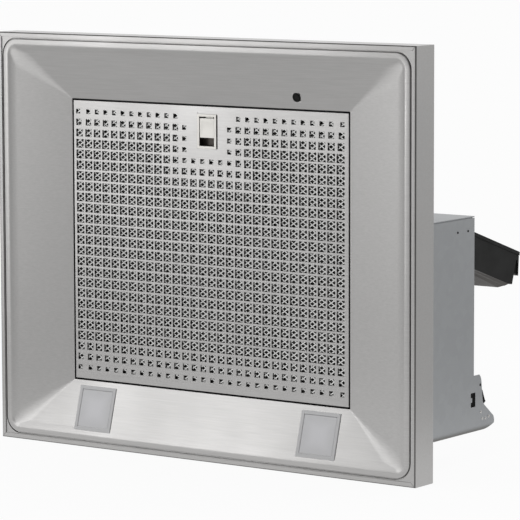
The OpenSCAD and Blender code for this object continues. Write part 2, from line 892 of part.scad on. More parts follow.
// Two straps carry the scroll on the housing's floor
strap_w = 16;
strap_half = 40;
strap_t = 1.5;

module scroll_feet() {
  color(dull_steel)
    for (x = [blower_x - scroll_w / 3, blower_x + scroll_w / 3])
      difference() {
        box(
          [x - strap_w / 2, blower_y - strap_half, floor_z],
          [x + strap_w / 2, blower_y + strap_half, blower_z - 30]);
        box(
          [x - strap_w / 2 - 1, blower_y - strap_half + strap_t, floor_z + strap_t],
          [x + strap_w / 2 + 1, blower_y + strap_half - strap_t, blower_z]);
        run_x(x - strap_w / 2 - 1, strap_w + 2)
          polygon(scroll_outline(scroll_sheet + seat));
      }
}

module blade_2d() {
  turn = 20;
  steps = 4;
  mid = (wheel_r + blade_in_r) / 2;
  r_tip = wheel_r - 0.5;
  function edge(share, off) =
    let (r = blade_in_r + 0.5 + (r_tip - blade_in_r - 0.5) * share, a = turn * share * share + off)
    [r * cos(a), r * sin(a)];
  polygon(concat(
    [for (i = [0:steps]) edge(i / steps, 0)],
    [for (i = [steps:-1:0]) edge(i / steps, 1.4)]));
}

module fan_wheel() {
  length = scroll_w - 10;
  x0 = blower_x - length / 2;
  color(dark_grey)
    difference() {
      union() {
        translate([x0, blower_y, blower_z])
          rotate([90, 0, 90]) {
            linear_extrude(length)
              for (i = [0:blade_count - 1])
                rotate(i * 360 / blade_count)
                  blade_2d();
            for (x = [0, length - 3])
              translate([0, 0, x])
                difference() {
                  cylinder(r = wheel_r, h = 3);
                  translate([0, 0, -1])
                    cylinder(r = blade_in_r, h = 5);
                }
            translate([0, 0, length / 2 - 1.5])
              cylinder(r = wheel_r, h = 3);
            translate([0, 0, length / 2 - 9])
              cylinder(r = shaft_r + 5, h = 18);
          }
      }
      rod_x(x0 - 1, blower_y, blower_z, shaft_r + 0.02, length + 2);
    }
}

motor_right = blower_x - scroll_w / 2 - scroll_sheet - 16;
motor_left = motor_right - motor_len;

module motor_shaft() {
  color(steel)
    rod_x(motor_left + 4, blower_y, blower_z, shaft_r, blower_x + 16 - motor_left - 4);
}

module motor_body() {
  color(dark_grey)
    translate([motor_left, blower_y, blower_z])
      rotate([90, 0, 90])
        difference() {
          union() {
            cylinder(r = motor_r - 6, h = motor_len);
            translate([0, 0, 10])
              cylinder(r = motor_r, h = motor_len - 20);
            translate([0, 0, -4])
              cylinder(r = shaft_r + 7, h = motor_len + 8);
          }
          translate([0, 0, -5])
            cylinder(r = shaft_r + 0.06, h = motor_len + 10);
        }
}

arm_turns = [60, 180, 300];
arm_r = inlet_r + 10;

module motor_bracket() {
  x = motor_right - 10;
  plate_x = blower_x - scroll_w / 2 - scroll_sheet;
  color(dull_steel)
    translate([0, blower_y, blower_z]) {
      difference() {
        rod_x(x, 0, 0, motor_r + 2.5, 3);
        rod_x(x - 1, 0, 0, motor_r + 0.1 - 6, 5);
      }
      for (turn = arm_turns)
        rotate([-turn, 0, 0]) {
          box([x, motor_r - 4, -6], [x + 3, arm_r + 6, 6]);
          box([x, arm_r + 3, -6], [plate_x - 2.4, arm_r + 6, 6]);
          box([plate_x - 5, arm_r - 3, -6], [plate_x - 2.4, arm_r + 6, 6]);
        }
    }
}

module motor_grommets() {
  plate_x = blower_x - scroll_w / 2 - scroll_sheet;
  color(black)
    translate([0, blower_y, blower_z])
      for (turn = arm_turns)
        rotate([-turn, 0, 0])
          rod_x(plate_x - 2.4, arm_r + 1.5, 0, 4, 2.4);
}

// Electrics on the housing's floor

floor_z = -housing_low + housing_sheet;
// Lamp driver: its left side and front, then its width, depth and height
driver_at = [-70, 60];
driver_size = [80, 40, 24];
// Capacitor: its left end and middle, its height above the floor, its radius and length
can_at = [-60, 45];
can_up = 47;
can_r = 15;
can_len = 62;
clamp_x = can_at[0] + 20;
box_x = -225;
box_w = 132;
box_z = 34;
box_y = [46, 110];

module control_box() {
  color(white)
    difference() {
      box([box_x, box_y[0], floor_z + bend_r], [box_x + box_w, box_y[1], floor_z + bend_r + box_z]);
      box(
        [box_x + 2, box_y[0] + 2, floor_z + bend_r + 2],
        [box_x + box_w - 2, box_y[1] - 2, floor_z + bend_r + box_z + 1]);
      rod_y(gland_x, box_y[1] - 5, gland_z, gland_r + 0.3, 8);
    }
  color(white)
    for (x = [box_x + 20, box_x + box_w - 30])
      box([x, box_y[0] + 10, floor_z], [x + 10, box_y[1] - 10, floor_z + bend_r]);
}

module control_lid() {
  z = floor_z + bend_r + box_z;
  color(white)
    box([box_x, box_y[0], z], [box_x + box_w, box_y[1], z + 2]);
}

module lamp_driver() {
  color(black)
    translate([driver_at[0], driver_at[1], floor_z])
      cube(driver_size);
}

module capacitor() {
  color(white)
    translate([can_at[0], can_at[1], floor_z + can_up])
      rotate([0, 90, 0]) {
        cylinder(r = can_r, h = can_len);
        translate([0, 0, can_len])
          cylinder(r = can_r - 4, h = 4);
      }
}

module capacitor_clamp() {
  color(dull_steel)
    difference() {
      union() {
        rod_x(clamp_x, can_at[1], floor_z + can_up, can_r + 1.5, 14);
        box([clamp_x, can_at[1] - 2, floor_z], [clamp_x + 14, can_at[1] + 2, floor_z + can_up - 7]);
      }
      rod_x(clamp_x - 1, can_at[1], floor_z + can_up, can_r, 16);
    }
}

// Mains inlet: a gland through the rear panel, with a bore for the lead
gland_r = 8;
gland_x = -150;
gland_z = floor_z + bend_r + 18;

module mains_gland() {
  color(black)
    difference() {
      union() {
        rod_y(gland_x, box_y[1] - 1, gland_z, gland_r, panel_y + 14 - box_y[1]);
        rod_y(gland_x, panel_y + housing_sheet, gland_z, gland_r + 3, 5);
      }
      rod_y(gland_x, box_y[1] - 3, gland_z, inlet_bore_r, 60);
    }
}

// Outlet duct: a sloping rectangular duct in two mouldings, with a collar and two flaps

outlet_top = [outlet_start_y, outlet_top_z];
mouth_low = outlet_top_z - outlet_h / cos(outlet_tilt) + outlet_wall;

// A point in the outlet's own directions, from the outer top corner at the panel
function in_outlet(along, down) = outlet_top + along * outlet_dir - down * outlet_up;
// The distance along the outlet at which a line square to it meets the panel
function start_at(down) = down * tan(outlet_tilt);
function at_start(down) = [outlet_start_y, in_outlet(start_at(down), down)[1]];

// Where the underside starts to drop
belly_start = 20;

module outlet_duct() {
  w = outlet_w;
  x0 = blower_x - w / 2;
  collar_top = cover_t + 0.1;
  collar_low = outlet_h - collar_up;
  skin = 1.2;
  step = outlet_wall - skin;
  inner_low = outlet_h - outlet_wall;
  color(black) {
    difference() {
      union() {
        // The lower edge of the end is slightly bevelled
        run_x(x0, w)
          polygon([
            at_start(cover_t), in_outlet(outlet_len, cover_t),
            in_outlet(outlet_len, outlet_h - outlet_wall / 2), in_outlet(outlet_len - 6, outlet_h),
            at_start(outlet_h)]);
        // Flange against the rear panel
        box(
          [x0 - 6, outlet_start_y, mouth_low - 8],
          [x0 + w + 6, outlet_start_y + 2, outlet_top_z - cover_t / cos(outlet_tilt) - 2]);
        // The underside drops in two shallow wedges, stepped back from the sides
        for (wedge = [[5.3, belly_depth / 2], [13.4, belly_depth]])
          run_x(x0 + wedge[0], w - 2 * wedge[0])
            polygon([
              in_outlet(belly_start, outlet_h - 0.5), in_outlet(outlet_len - 6.5, outlet_h - 0.5),
              in_outlet(outlet_len - 6.5, outlet_h + wedge[1])]);
      }
      run_x(x0 + outlet_wall, w - 2 * outlet_wall)
        polygon([
          in_outlet(-20, cover_t - 1), in_outlet(outlet_len + 1, cover_t - 1),
          in_outlet(outlet_len + 1, inner_low), in_outlet(-20, inner_low)]);
    }
    // Collar that the next duct slides over
    difference() {
      run_x(x0 + step, w - 2 * step)
        polygon([
          in_outlet(outlet_len - 2, collar_top), in_outlet(outlet_len + collar_len / 2, collar_top),
          in_outlet(outlet_len + collar_len, collar_low), in_outlet(outlet_len - 2, collar_low)]);
      run_x(x0 + step + 1.4, w - 2 * step - 2.8)
        polygon([
          in_outlet(outlet_len - 5, collar_top + skin), in_outlet(outlet_len + 20, collar_top + skin),
          in_outlet(outlet_len + 20, collar_low - skin), in_outlet(outlet_len - 5, collar_low - skin)]);
      // Slot in each side of the collar, for the catches of the next duct
      run_x(x0 - 1, w + 2)
        polygon([
          in_outlet(outlet_len - 0.5, 9.6), in_outlet(outlet_len + 5, 9.6),
          in_outlet(outlet_len + 9.2, collar_low - skin), in_outlet(outlet_len - 0.5, collar_low - skin)]);
    }
  }
}

module outlet_cover() {
  w = outlet_w + 1.6;
  color(black)
    run_x(blower_x - w / 2, w)
      polygon([
        outlet_top, in_outlet(outlet_len + 3.7, 0), in_outlet(outlet_len + 4.5, cover_t),
        at_start(cover_t)]);
}

flap_along = 74;
flap_mid = (cover_t + outlet_h - outlet_wall) / 2;
barrel_r = 2.2;
barrel_len = 30;

module flap_spine() {
  p = in_outlet(flap_along, flap_mid);
  color(dull_steel)
    rod_x(blower_x - outlet_w / 2 + outlet_wall, p[0], p[1], 1, outlet_w - 2 * outlet_wall);
}

module flap(side) {
  pin = in_outlet(flap_along, flap_mid);
  reach = flap_mid - cover_t - 0.6;
  half = outlet_w / 2 - outlet_wall - 0.6;
  root = barrel_r + 0.4;
  barrels = side > 0 ? [-half, 10] : [-10 - barrel_len, half - barrel_len];
  color(dark_grey)
    translate([blower_x, pin[0], pin[1]])
      rotate([-outlet_tilt, 0, 0])
        mirror([0, 0, side < 0 ? 1 : 0])
          difference() {
            union() {
              for (x = barrels) {
                rod_x(x, 0, 0, barrel_r, barrel_len);
                box([x, -flap_t / 2, 0], [x + barrel_len, flap_t / 2, root + 1]);
              }
              box([-half, -flap_t / 2, root], [half, flap_t / 2, reach]);
            }
            rod_x(-half - 1, 0, 0, 1.05, 2 * half + 2);
          }
}

edge_frame();
tray();
hinge_ears();
control_button();
button_bezel();
button_switch();
lamp_body(-1);  // lamp_body_left
lamp_lens(-1);  // lamp_lens_left
lamp_board(-1);  // lamp_board_left
lamp_body(1);  // lamp_body_right
lamp_lens(1);  // lamp_lens_right
lamp_board(1);  // lamp_board_right
filter_plate();
filter_pad();
filter_channels();
filter_screen();
filter_pivots();
latch_cup();
latch_tab();
latch_spring();
air_box();
housing_wrapper();
housing_lid();
rear_panel();
housing_screws();
ear_rivets();
snap_clip(-1);  // snap_clip_left
snap_clip(1);  // snap_clip_right
scroll_wrap();
scroll_side(-1);  // scroll_side_left
scroll_side(1);  // scroll_side_right
inlet_ring(-1);  // inlet_ring_left
inlet_ring(1);  // inlet_ring_right
scroll_feet();
fan_wheel();
motor_shaft();
motor_body();
motor_bracket();
motor_grommets();
capacitor();
capacitor_clamp();
control_box();
control_lid();
lamp_driver();
mains_gland();
outlet_duct();
outlet_cover();
flap_spine();
flap(1);  // flap_upper
flap(-1);  // flap_lower
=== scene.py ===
import math

import bmesh
import bpy
from mathutils import Matrix, Vector


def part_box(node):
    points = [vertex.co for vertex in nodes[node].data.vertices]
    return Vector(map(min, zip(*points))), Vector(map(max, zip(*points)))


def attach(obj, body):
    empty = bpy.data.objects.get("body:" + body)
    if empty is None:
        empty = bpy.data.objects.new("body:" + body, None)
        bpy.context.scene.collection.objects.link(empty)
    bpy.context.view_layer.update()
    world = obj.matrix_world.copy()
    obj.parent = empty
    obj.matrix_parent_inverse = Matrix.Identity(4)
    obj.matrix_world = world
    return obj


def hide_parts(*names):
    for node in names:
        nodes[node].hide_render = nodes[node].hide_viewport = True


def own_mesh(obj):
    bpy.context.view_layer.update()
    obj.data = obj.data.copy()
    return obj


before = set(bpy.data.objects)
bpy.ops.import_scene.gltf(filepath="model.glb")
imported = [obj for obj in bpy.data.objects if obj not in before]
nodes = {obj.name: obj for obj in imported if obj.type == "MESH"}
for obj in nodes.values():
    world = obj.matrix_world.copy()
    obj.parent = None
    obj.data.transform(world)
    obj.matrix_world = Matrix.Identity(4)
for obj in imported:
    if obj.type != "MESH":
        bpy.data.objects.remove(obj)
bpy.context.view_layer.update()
mm = 0.001


# Camera: a long lens from the right and slightly above, where the hood was photographed.
# Its place was fitted to the corners of the edge frame, the filter opening and the housing.
camera_turn = math.radians(35.63)
camera_rise = math.radians(6.783)
camera_roll = math.radians(-0.173)
camera_aim = Vector((81.36, -35.5, -3.8)) * mm
camera_distance = 3518.3 * mm


def towards(turn, rise):
    """The direction of a place, turned to the right of the hood's front and raised above level."""
    return Vector((math.sin(turn) * math.cos(rise), -math.cos(turn) * math.cos(rise), math.sin(rise)))


towards_camera = towards(camera_turn, camera_rise)
level_right = Vector((math.cos(camera_turn), math.sin(camera_turn), 0))
level_up = towards_camera.cross(level_right)
picture_right = math.cos(camera_roll) * level_right + math.sin(camera_roll) * level_up
picture_up = towards_camera.cross(picture_right)
camera_data = bpy.data.cameras.new("camera")
camera_data.sensor_width = 36
camera_data.lens = 229.9
camera_data.clip_end = 50
camera = bpy.data.objects.new("camera", camera_data)
bpy.context.scene.collection.objects.link(camera)
camera.matrix_world = Matrix.Translation(camera_aim + towards_camera * camera_distance) @ Matrix(
    (picture_right, picture_up, towards_camera)).transposed().to_4x4()
bpy.context.scene.camera = camera


# Edge frame: four mitred rails of brushed stainless sheet, each folded into a front strip,
# a side and a seat lip. The strip laps over the tray's edge and the lip rests on the cabinet.
frame_half_w = 277.5
frame_half_h = 228.5
front_y = -35.5
strip_w = 5.2
seat_lip = 11
frame_sheet = 1.2
fold_r = 1.6
mitre_gap = 0.4
# The faces of the front bend that look this far forwards take a darker steel: a painted dark reflection along
# the fold
bend_low = 0.26
bend_high = 0.97
bend_deep = 3


def linear(code):
    """Turns an sRGB hex colour into the linear colour that a shader takes."""
    parts = [int(code[i:i + 2], 16) / 255 for i in (1, 3, 5)]
    return [p / 12.92 if p <= 0.04045 else ((p + 0.055) / 1.055) ** 2.4 for p in parts] + [1]


def add(owner, kind, values=None, links=None, **settings):
    """Adds one shader node with its settings, socket values and links. A link comes from a socket, or
    from a node, which then gives its first live output."""
    node = owner.node_tree.nodes.new("ShaderNode" + kind)
    for key, value in settings.items():
        setattr(node, key, value)
    for socket, value in (values or {}).items():
        node.inputs[socket].default_value = value
    for socket, source in (links or {}).items():
        if isinstance(source, bpy.types.Node):
            source = next(output for output in source.outputs if output.enabled)
        owner.node_tree.links.new(source, node.inputs[socket])
    return node


def start_material(name):
    """Starts an empty material, and returns it with the coordinates that its patterns follow."""
    material = bpy.data.materials.new(name)
    material.use_nodes = True
    material.node_tree.nodes.clear()
    return material, add(material, "TexCoord").outputs["Object"]


def make_piece(name, bm, material, sharp=32):
    """Makes an object of a mesh that was modelled in millimetres, smooth up to its sharp edges."""
    bmesh.ops.scale(bm, vec=(mm, mm, mm), verts=bm.verts)
    mesh = bpy.data.meshes.new(name)
    bm.to_mesh(mesh)
    bm.free()
    mesh.shade_smooth()
    mesh.set_sharp_from_angle(angle=math.radians(sharp))
    mesh.materials.append(material)
    piece = bpy.data.objects.new(name, mesh)
    bpy.context.scene.collection.objects.link(piece)
    return piece


def place_piece(name, bm, body, material, node=None, sharp=32):
    """Makes a piece, lets it ride a body and hides the CAD node that it stands for."""
    piece = make_piece(name, bm, material, sharp)
    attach(piece, body)
    if node:
        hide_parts(node)
    return piece


def even_shading(piece):
    """Lets the large faces set the shading, so that flat panels stay flat beside their rounded edges."""
    weighted = piece.modifiers.new("even_shading", "WEIGHTED_NORMAL")
    weighted.weight = 100
    weighted.keep_sharp = True


def sheet_thickness(piece, thickness, edge=0.2):
    """Gives an open sheet its thickness on the side away from its faces, and eases its cut edges."""
    solid = piece.modifiers.new("thickness", "SOLIDIFY")
    solid.thickness = thickness * mm
    solid.offset = -1
    solid.use_even_offset = True
    if edge:
        bevel = piece.modifiers.new("cut_edges", "BEVEL")
        bevel.width = edge * mm
        bevel.segments = 2
        bevel.limit_method = "ANGLE"
        bevel.angle_limit = math.radians(50)
        bevel.use_clamp_overlap = True
    even_shading(piece)


# A noise keeps mostly between these values, which a material spreads over its range of roughness
noise_span = {"From Min": 0.3, "From Max": 0.7}

# Brushed stainless steel: fine lines along the hood's width, which spread its reflections up and
# down. Real lines are about 0.2 mm wide and 30 mm long, drawn 1.1 mm wide so that they show.
stainless, place = start_material("brushed_stainless_steel")
along = add(stainless, "Mapping", {"Scale": (0.03, 1, 1)}, {"Vector": place})
lines = add(stainless, "TexNoise", {"Scale": 900, "Detail": 3, "Roughness": 0.6}, {"Vector": along})
clouds = add(stainless, "TexNoise", {"Scale": 9, "Detail": 2}, {"Vector": place})
tone = add(
    stainless, "Mix", {"A": linear("#A5A4A3"), "B": linear("#B9B8B7")}, {"Factor": lines},
    data_type="RGBA")
rough = add(stainless, "MapRange", {**noise_span, "To Min": 0.3, "To Max": 0.36}, {"Value": clouds})
grain = add(stainless, "Bump", {"Strength": 0.12, "Distance": 0.03 * mm}, {"Height": lines})
shader = add(
    stainless, "BsdfPrincipled", {"Metallic": 1.0},
    {"Base Color": tone, "Roughness": rough, "Normal": grain})
add(stainless, "OutputMaterial", links={"Surface": shader})


def metal(name, dark, light, scale, detail, smooth, rough=None, relief=None):
    """Metal in two close tones, mixed by a noise that is 1 mm wide at a scale of 1000. The noise can
    also vary the roughness, and raise a relief of a given strength and depth in millimetres."""
    material, place = start_material(name)
    grain = add(material, "TexNoise", {"Scale": scale, "Detail": detail}, {"Vector": place})
    links = {"Base Color": add(
        material, "Mix", {"A": linear(dark), "B": linear(light)}, {"Factor": grain}, data_type="RGBA")}
    if rough:
        links["Roughness"] = add(
            material, "MapRange", {**noise_span, "To Min": smooth, "To Max": rough}, {"Value": grain})
    if relief:
        links["Normal"] = add(
            material, "Bump", {"Strength": relief[0], "Distance": relief[1] * mm}, {"Height": grain})
    shader = add(material, "BsdfPrincipled", {"Metallic": 1.0, "Roughness": smooth}, links)
    add(material, "OutputMaterial", links={"Surface": shader})
    return material


# Fold shade steel: a darker steel on the frame's front fold, which paints the fold's dark reflection as a
# dark line
fold_shade_steel = metal("stainless_steel_painted_fold_shade", "#636261", "#6E6D6C", 400, 3, 0.32)


def only(kind, parts):
    """Picks the points or the edges out of what an operator made."""
    return [part for part in parts if isinstance(part, kind)]


def whole(bm):
    """All of a mesh, for a cut that goes right through it."""
    return bm.verts[:] + bm.edges[:] + bm.faces[:]


def round_edges(bm, edges, width, segments=2, clamp=False):
    """Rounds edges over a width in millimetres, and returns the new faces."""
    return bmesh.ops.bevel(
        bm, geom=edges, offset=width, segments=segments, profile=0.5, affect="EDGES", material=-1,
        clamp_overlap=clamp)["faces"]


def pour(part, bm):
    """Adds one mesh to another and frees it."""
    mesh = bpy.data.meshes.new("part")
    part.to_mesh(mesh)
    part.free()
    bm.from_mesh(mesh)
    bpy.data.meshes.remove(mesh)


def add_rail(bm, length, half_across, turn):
    """Folds one rail along X at the bottom of the frame, cuts its mitres and turns it into place."""
    rail = bmesh.new()
    path = [(0, seat_lip), (0, 0), (front_y, 0), (front_y, strip_w)]
    corners = [rail.verts.new((-length / 2, y, up - half_across)) for y, up in path]
    edges = [rail.edges.new((a, b)) for a, b in zip(corners, corners[1:])]
    swept = bmesh.ops.extrude_edge_only(rail, edges=edges)["geom"]
    bmesh.ops.translate(rail, vec=(length, 0, 0), verts=only(bmesh.types.BMVert, swept))
    folds = [
        edge for edge in rail.edges
        if len(edge.link_faces) == 2 and abs(edge.verts[0].co.x - edge.verts[1].co.x) > 1]
    # The fold's forward faces get the darker steel, a painted dark reflection
    for face in round_edges(rail, folds, fold_r, 6):
        if bend_low < abs(face.normal.y) < bend_high and face.calc_center_median().y < front_y + bend_deep:
            face.material_index = 1
    for side in (-1, 1):
        bmesh.ops.bisect_plane(
            rail, geom=whole(rail), plane_co=(side * (length - mitre_gap) / 2, 0, -half_across),
            plane_no=(side, 0, 1), clear_outer=True)
    bmesh.ops.recalc_face_normals(rail, faces=rail.faces)
    lowest = min(rail.faces, key=lambda face: face.calc_center_median().z)
    if lowest.normal.z > 0:
        bmesh.ops.reverse_faces(rail, faces=rail.faces)
    bmesh.ops.rotate(rail, verts=rail.verts, matrix=Matrix.Rotation(turn, 3, "Y"))
    pour(rail, bm)


bm = bmesh.new()
for half_turn in (0, math.pi):
    add_rail(bm, 2 * frame_half_w, frame_half_h, half_turn)
    add_rail(bm, 2 * frame_half_h, frame_half_w, half_turn + math.pi / 2)
frame_rails = place_piece("frame_rails", bm, "root", stainless, "edge_frame")
frame_rails.data.materials.append(fold_shade_steel)
sheet_thickness(frame_rails, frame_sheet, 0.15)


# Tray: one pressed sheet of brushed stainless steel. Its raised rim has rounded corners and rolls
# down into a narrow gap beside the frame's strip, and its four slopes lead in to the filter.
tray_y = -34.3
opening_half_w = 185.3
opening_half_h = 156.8
opening_y = -18.5
flange_back = -4.5
slope_tilt = math.radians(15.416)
slope_start_z = 214.1
slope_top_y = -33.4
shoulder = 17.6
lamp_x = 150
lamp_along = 28.6
lamp_hole = 23
button_x = 119.5
button_along = 46.6
button_hole_r = 4.6
button_patch = 6


def edges_at(verts):
    """The edges that meet the points of a loop."""
    return list({edge for vert in verts for edge in vert.link_edges})


def rounded_loop(bm, half_w, half_h, radius, y, steps=8):
    """Adds a closed loop of edges in the shape of a rectangle with rounded corners."""
    made = bmesh.ops.create_circle(bm, segments=4 * (steps + 1), radius=1)["verts"]
    for number, vert in enumerate(made):
        corner, step = divmod(number, steps + 1)
        angle = math.radians(90 * (corner + step / steps))
        side_x = 1 if corner in (0, 3) else -1
        side_z = 1 if corner in (0, 1) else -1
        vert.co = (
            side_x * (half_w - radius) + radius * math.cos(angle), y,
            side_z * (half_h - radius) + radius * math.sin(angle))
    return edges_at(made)


def join_loops(bm, loops):
    """Lays faces from each loop to the next."""
    for first, second in zip(loops, loops[1:]):
        bmesh.ops.bridge_loops(bm, edges=first + second)


def slope_place(upper, x, along):
    """The matrix of a place on the upper or lower slope: X along the hood, Y into it, Z up the slope."""
    side = 1 if upper else -1
    return (
        Matrix.Translation((x, tray_y, side * slope_start_z))
        @ Matrix.Rotation(side * slope_tilt, 4, "X")
        @ Matrix.Translation((0, 0, -side * along)))


# How far off a slope's own plane its faces may lie, for cuts that leave the other faces alone
sheet_reach = 1.5


def cut_slope(bm, matrix, lines):
    """Cuts the slope that the matrix stands on along lines: a direction on the slope, and how far out."""
    normal = matrix.to_3x3() @ Vector((0, -1, 0))
    for direction, distance in lines:
        turned = matrix.to_3x3() @ Vector(direction)
        faces = [
            face for face in bm.faces
            if abs(face.normal.dot(normal)) > 0.99
            and abs((face.calc_center_median() - matrix.translation).dot(normal)) < sheet_reach]
        parts = {part for face in faces for part in (*face.verts, *face.edges, face)}
        bmesh.ops.bisect_plane(
            bm, geom=list(parts), plane_co=matrix.translation + turned * distance, plane_no=turned)


def open_hole(bm, centre, half):
    """Takes out the faces that lie within a square round a point, and returns the hole's edges."""
    inside = [
        face for face in bm.faces if (face.calc_center_median() - centre).length < half * 0.5]
    edges = [edge for face in inside for edge in face.edges]
    bmesh.ops.delete(bm, geom=inside, context="FACES_ONLY")
    return edges


# Inset from the frame's outer edge, corner radius and place in depth of each line of the press
tray_lines = [
    (1.5, 0.3, -34.3), (6.1, 19.1, -34.3), (6.4, 18.8, -32.3), (7.1, 18.1, -32.2), (7.4, 17.8, -34.3),
    (7.9, 17.3, -35.0), (8.5, 16.7, -35.2), (12.6, 11.8, -35.2), (14.2, 10.2, -34.9),
    (15.7, 9.2, -34.4), (17.6, 8.7, -33.82)]
bm = bmesh.new()
loops = [
    rounded_loop(bm, frame_half_w - inset, frame_half_h - inset, radius, y)
    for inset, radius, y in tray_lines]
side_run = frame_half_w - shoulder - opening_half_w
end_run = frame_half_h - shoulder - opening_half_h
# The slopes' corners tighten from a wide radius at the rim to nearly sharp ones at the opening
for radius, share in ((18, 0.09), (0.5, 0.992), (0.3, 1)):
    y = slope_top_y + (opening_y - slope_top_y) * share
    loops.append(rounded_loop(
        bm, opening_half_w + side_run * (1 - share), opening_half_h + end_run * (1 - share), radius, y))
loops.append(rounded_loop(bm, opening_half_w, opening_half_h, 0.3, flange_back))
join_loops(bm, loops)
bmesh.ops.recalc_face_normals(bm, faces=bm.faces)
if sum(face.normal.y * face.calc_area() for face in bm.faces) > 0:
    bmesh.ops.reverse_faces(bm, faces=bm.faces)
lamps_at = slope_place(False, 0, lamp_along)
right = (1, 0, 0)
up = (0, 0, 1)
cut_slope(bm, lamps_at, [
    (up, lamp_hole), (up, -lamp_hole), (right, -lamp_x - lamp_hole), (right, -lamp_x + lamp_hole),
    (right, lamp_x - lamp_hole), (right, lamp_x + lamp_hole)])
for side in (-1, 1):
    open_hole(bm, lamps_at @ Vector((side * lamp_x, 0, 0)), lamp_hole)
button_at = slope_place(True, button_x, button_along)
cut_slope(bm, button_at, [
    (right, button_patch), (right, -button_patch), (up, button_patch), (up, -button_patch)])
square = open_hole(bm, button_at.translation, button_patch)
button_out = button_at @ Matrix.Rotation(math.pi / 2, 4, "X")
ring = bmesh.ops.create_circle(bm, segments=24, radius=button_hole_r, matrix=button_out)["verts"]
bmesh.ops.bridge_loops(bm, edges=square + edges_at(ring))
tray_pressing = place_piece("tray_pressing", bm, "root", stainless, "tray", 24)
sheet_thickness(tray_pressing, 1, 0)


# Filter gap: a thin strip in the black rubber material lines the tray's flange round the filter opening.
# It is painted shade: a dark sheet that makes the gap round the filter a dark line.


def moulded(name, dark, light, roughness, pores, gloss=0.5):
    """Moulded plastic: a plain tone that drifts a little, and a fine matt texture from the tool."""
    material, place = start_material(name)
    drift = add(material, "TexNoise", {"Scale": 40, "Detail": 3}, {"Vector": place})
    grit = add(material, "TexNoise", {"Scale": 2200, "Detail": 2}, {"Vector": place})
    tone = add(
        material, "Mix", {"A": linear(dark), "B": linear(light)}, {"Factor": drift}, data_type="RGBA")
    rough = add(
        material, "MapRange", {**noise_span, "To Min": roughness, "To Max": roughness + 0.1},
        {"Value": drift})
    bump = add(material, "Bump", {"Strength": pores, "Distance": 0.05 * mm}, {"Height": grit})
    shader = add(
        material, "BsdfPrincipled", {"Metallic": 0.0, "IOR": 1.5, "Specular IOR Level": gloss},
        {"Base Color": tone, "Roughness": rough, "Normal": bump})
    add(material, "OutputMaterial", links={"Surface": shader})
    return material


# Rubber: soft and matt, with a dusty bloom
rubber = moulded("black_rubber", "#0A0A0A", "#141312", 0.7, 0.5, 0.12)


shade_strip_t = 0.5
shade_strip_inset = 0.05
shade_strip_front = opening_y + 0.3
shade_strip_back = -8
bm = bmesh.new()
ring = [
    rounded_loop(bm, opening_half_w - inset, opening_half_h - inset, 0.3, y)
    for inset, y in (
        (shade_strip_inset, shade_strip_front), (shade_strip_t, shade_strip_front), (shade_strip_t, shade_strip_back), (shade_strip_inset, shade_strip_back))]
join_loops(bm, ring + ring[:1])
bmesh.ops.recalc_face_normals(bm, faces=bm.faces)
place_piece("filter_gap_shade_strip", bm, "root", rubber)


# Hinge ears: two small ears of galvanised steel sheet, spot-welded behind the tray. The filter's pins
# sit in them, so that the filter swings open on its lower edge.
# Galvanised steel: zinc in soft spangles about 9 mm wide, which break up its dull, grey reflection.
zinc, place = start_material("galvanised_steel")
spangle = add(zinc, "TexVoronoi", {"Scale": 110}, {"Vector": place})
haze = add(zinc, "TexNoise", {"Scale": 14, "Detail": 4}, {"Vector": place})
tone = add(
    zinc, "Mix", {"A": linear("#A0A2A4"), "B": linear("#A4A6A8")}, {"Factor": spangle.outputs["Color"]},
    data_type="RGBA")
rough = add(zinc, "MapRange", {**noise_span, "To Min": 0.45, "To Max": 0.48}, {"Value": haze})
shader = add(zinc, "BsdfPrincipled", {"Metallic": 1.0}, {"Base Color": tone, "Roughness": rough})
add(zinc, "OutputMaterial", links={"Surface": shader})


def eased_copy(node, name, body, material, ease=0.2, cut_above=None):
    """Copies a CAD node, merges its loose triangles into whole faces and eases its edges."""
    bm = bmesh.new()
    bm.from_mesh(nodes[node].data)
    bm.transform(Matrix.Scale(1 / mm, 4) @ nodes[node].matrix_world)
    bmesh.ops.remove_doubles(bm, verts=bm.verts, dist=0.002)
    bmesh.ops.dissolve_limit(bm, angle_limit=math.radians(1), verts=bm.verts, edges=bm.edges)
    if cut_above is not None:
        cut = bmesh.ops.bisect_plane(
            bm, geom=whole(bm), plane_co=(0, 0, cut_above), plane_no=(0, 0, 1),
            clear_outer=True)["geom_cut"]
        bmesh.ops.holes_fill(bm, edges=only(bmesh.types.BMEdge, cut))
    corners = [
        edge for edge in bm.edges
        if len(edge.link_faces) == 2 and edge.calc_face_angle() > math.radians(35)]
    round_edges(bm, corners, ease, 2, True)
    bmesh.ops.recalc_face_normals(bm, faces=bm.faces)
    piece = place_piece(name, bm, body, material, node)
    even_shading(piece)
    return piece


eased_copy("hinge_ears", "hinge_ear_pair", "root", zinc)


# Button: a black moulded cap in a black bezel ring on the upper slope, with its switch behind the
# sheet. The cap is dished, and a faint ring runs round its middle.
# Black plastic: a spark-eroded surface that keeps only broad, weak highlights
black_plastic = moulded("black_plastic", "#0D0D0C", "#121211", 0.5, 0.3, 0.22)
# Grey plastic: plain glass-filled mouldings for inside, with an even, dull grey
grey_plastic = moulded("grey_plastic", "#3C3D3F", "#46474A", 0.5, 0.4)


def add_turned(bm, profile, matrix, steps=32):
    """Adds a solid that is spun from a profile of radii and heights round the matrix's Z axis."""
    part = bmesh.new()
    points = [part.verts.new((radius, 0, height)) for radius, height in profile]
    edges = [part.edges.new(pair) for pair in zip(points, points[1:])]
    bmesh.ops.spin(
        part, geom=points + edges, cent=(0, 0, 0), axis=(0, 0, 1), angle=2 * math.pi, steps=steps,
        use_merge=True)
    bmesh.ops.remove_doubles(part, verts=part.verts, dist=0.001)
    bmesh.ops.recalc_face_normals(part, faces=part.faces)
    bmesh.ops.transform(part, matrix=matrix, verts=part.verts)
    pour(part, bm)


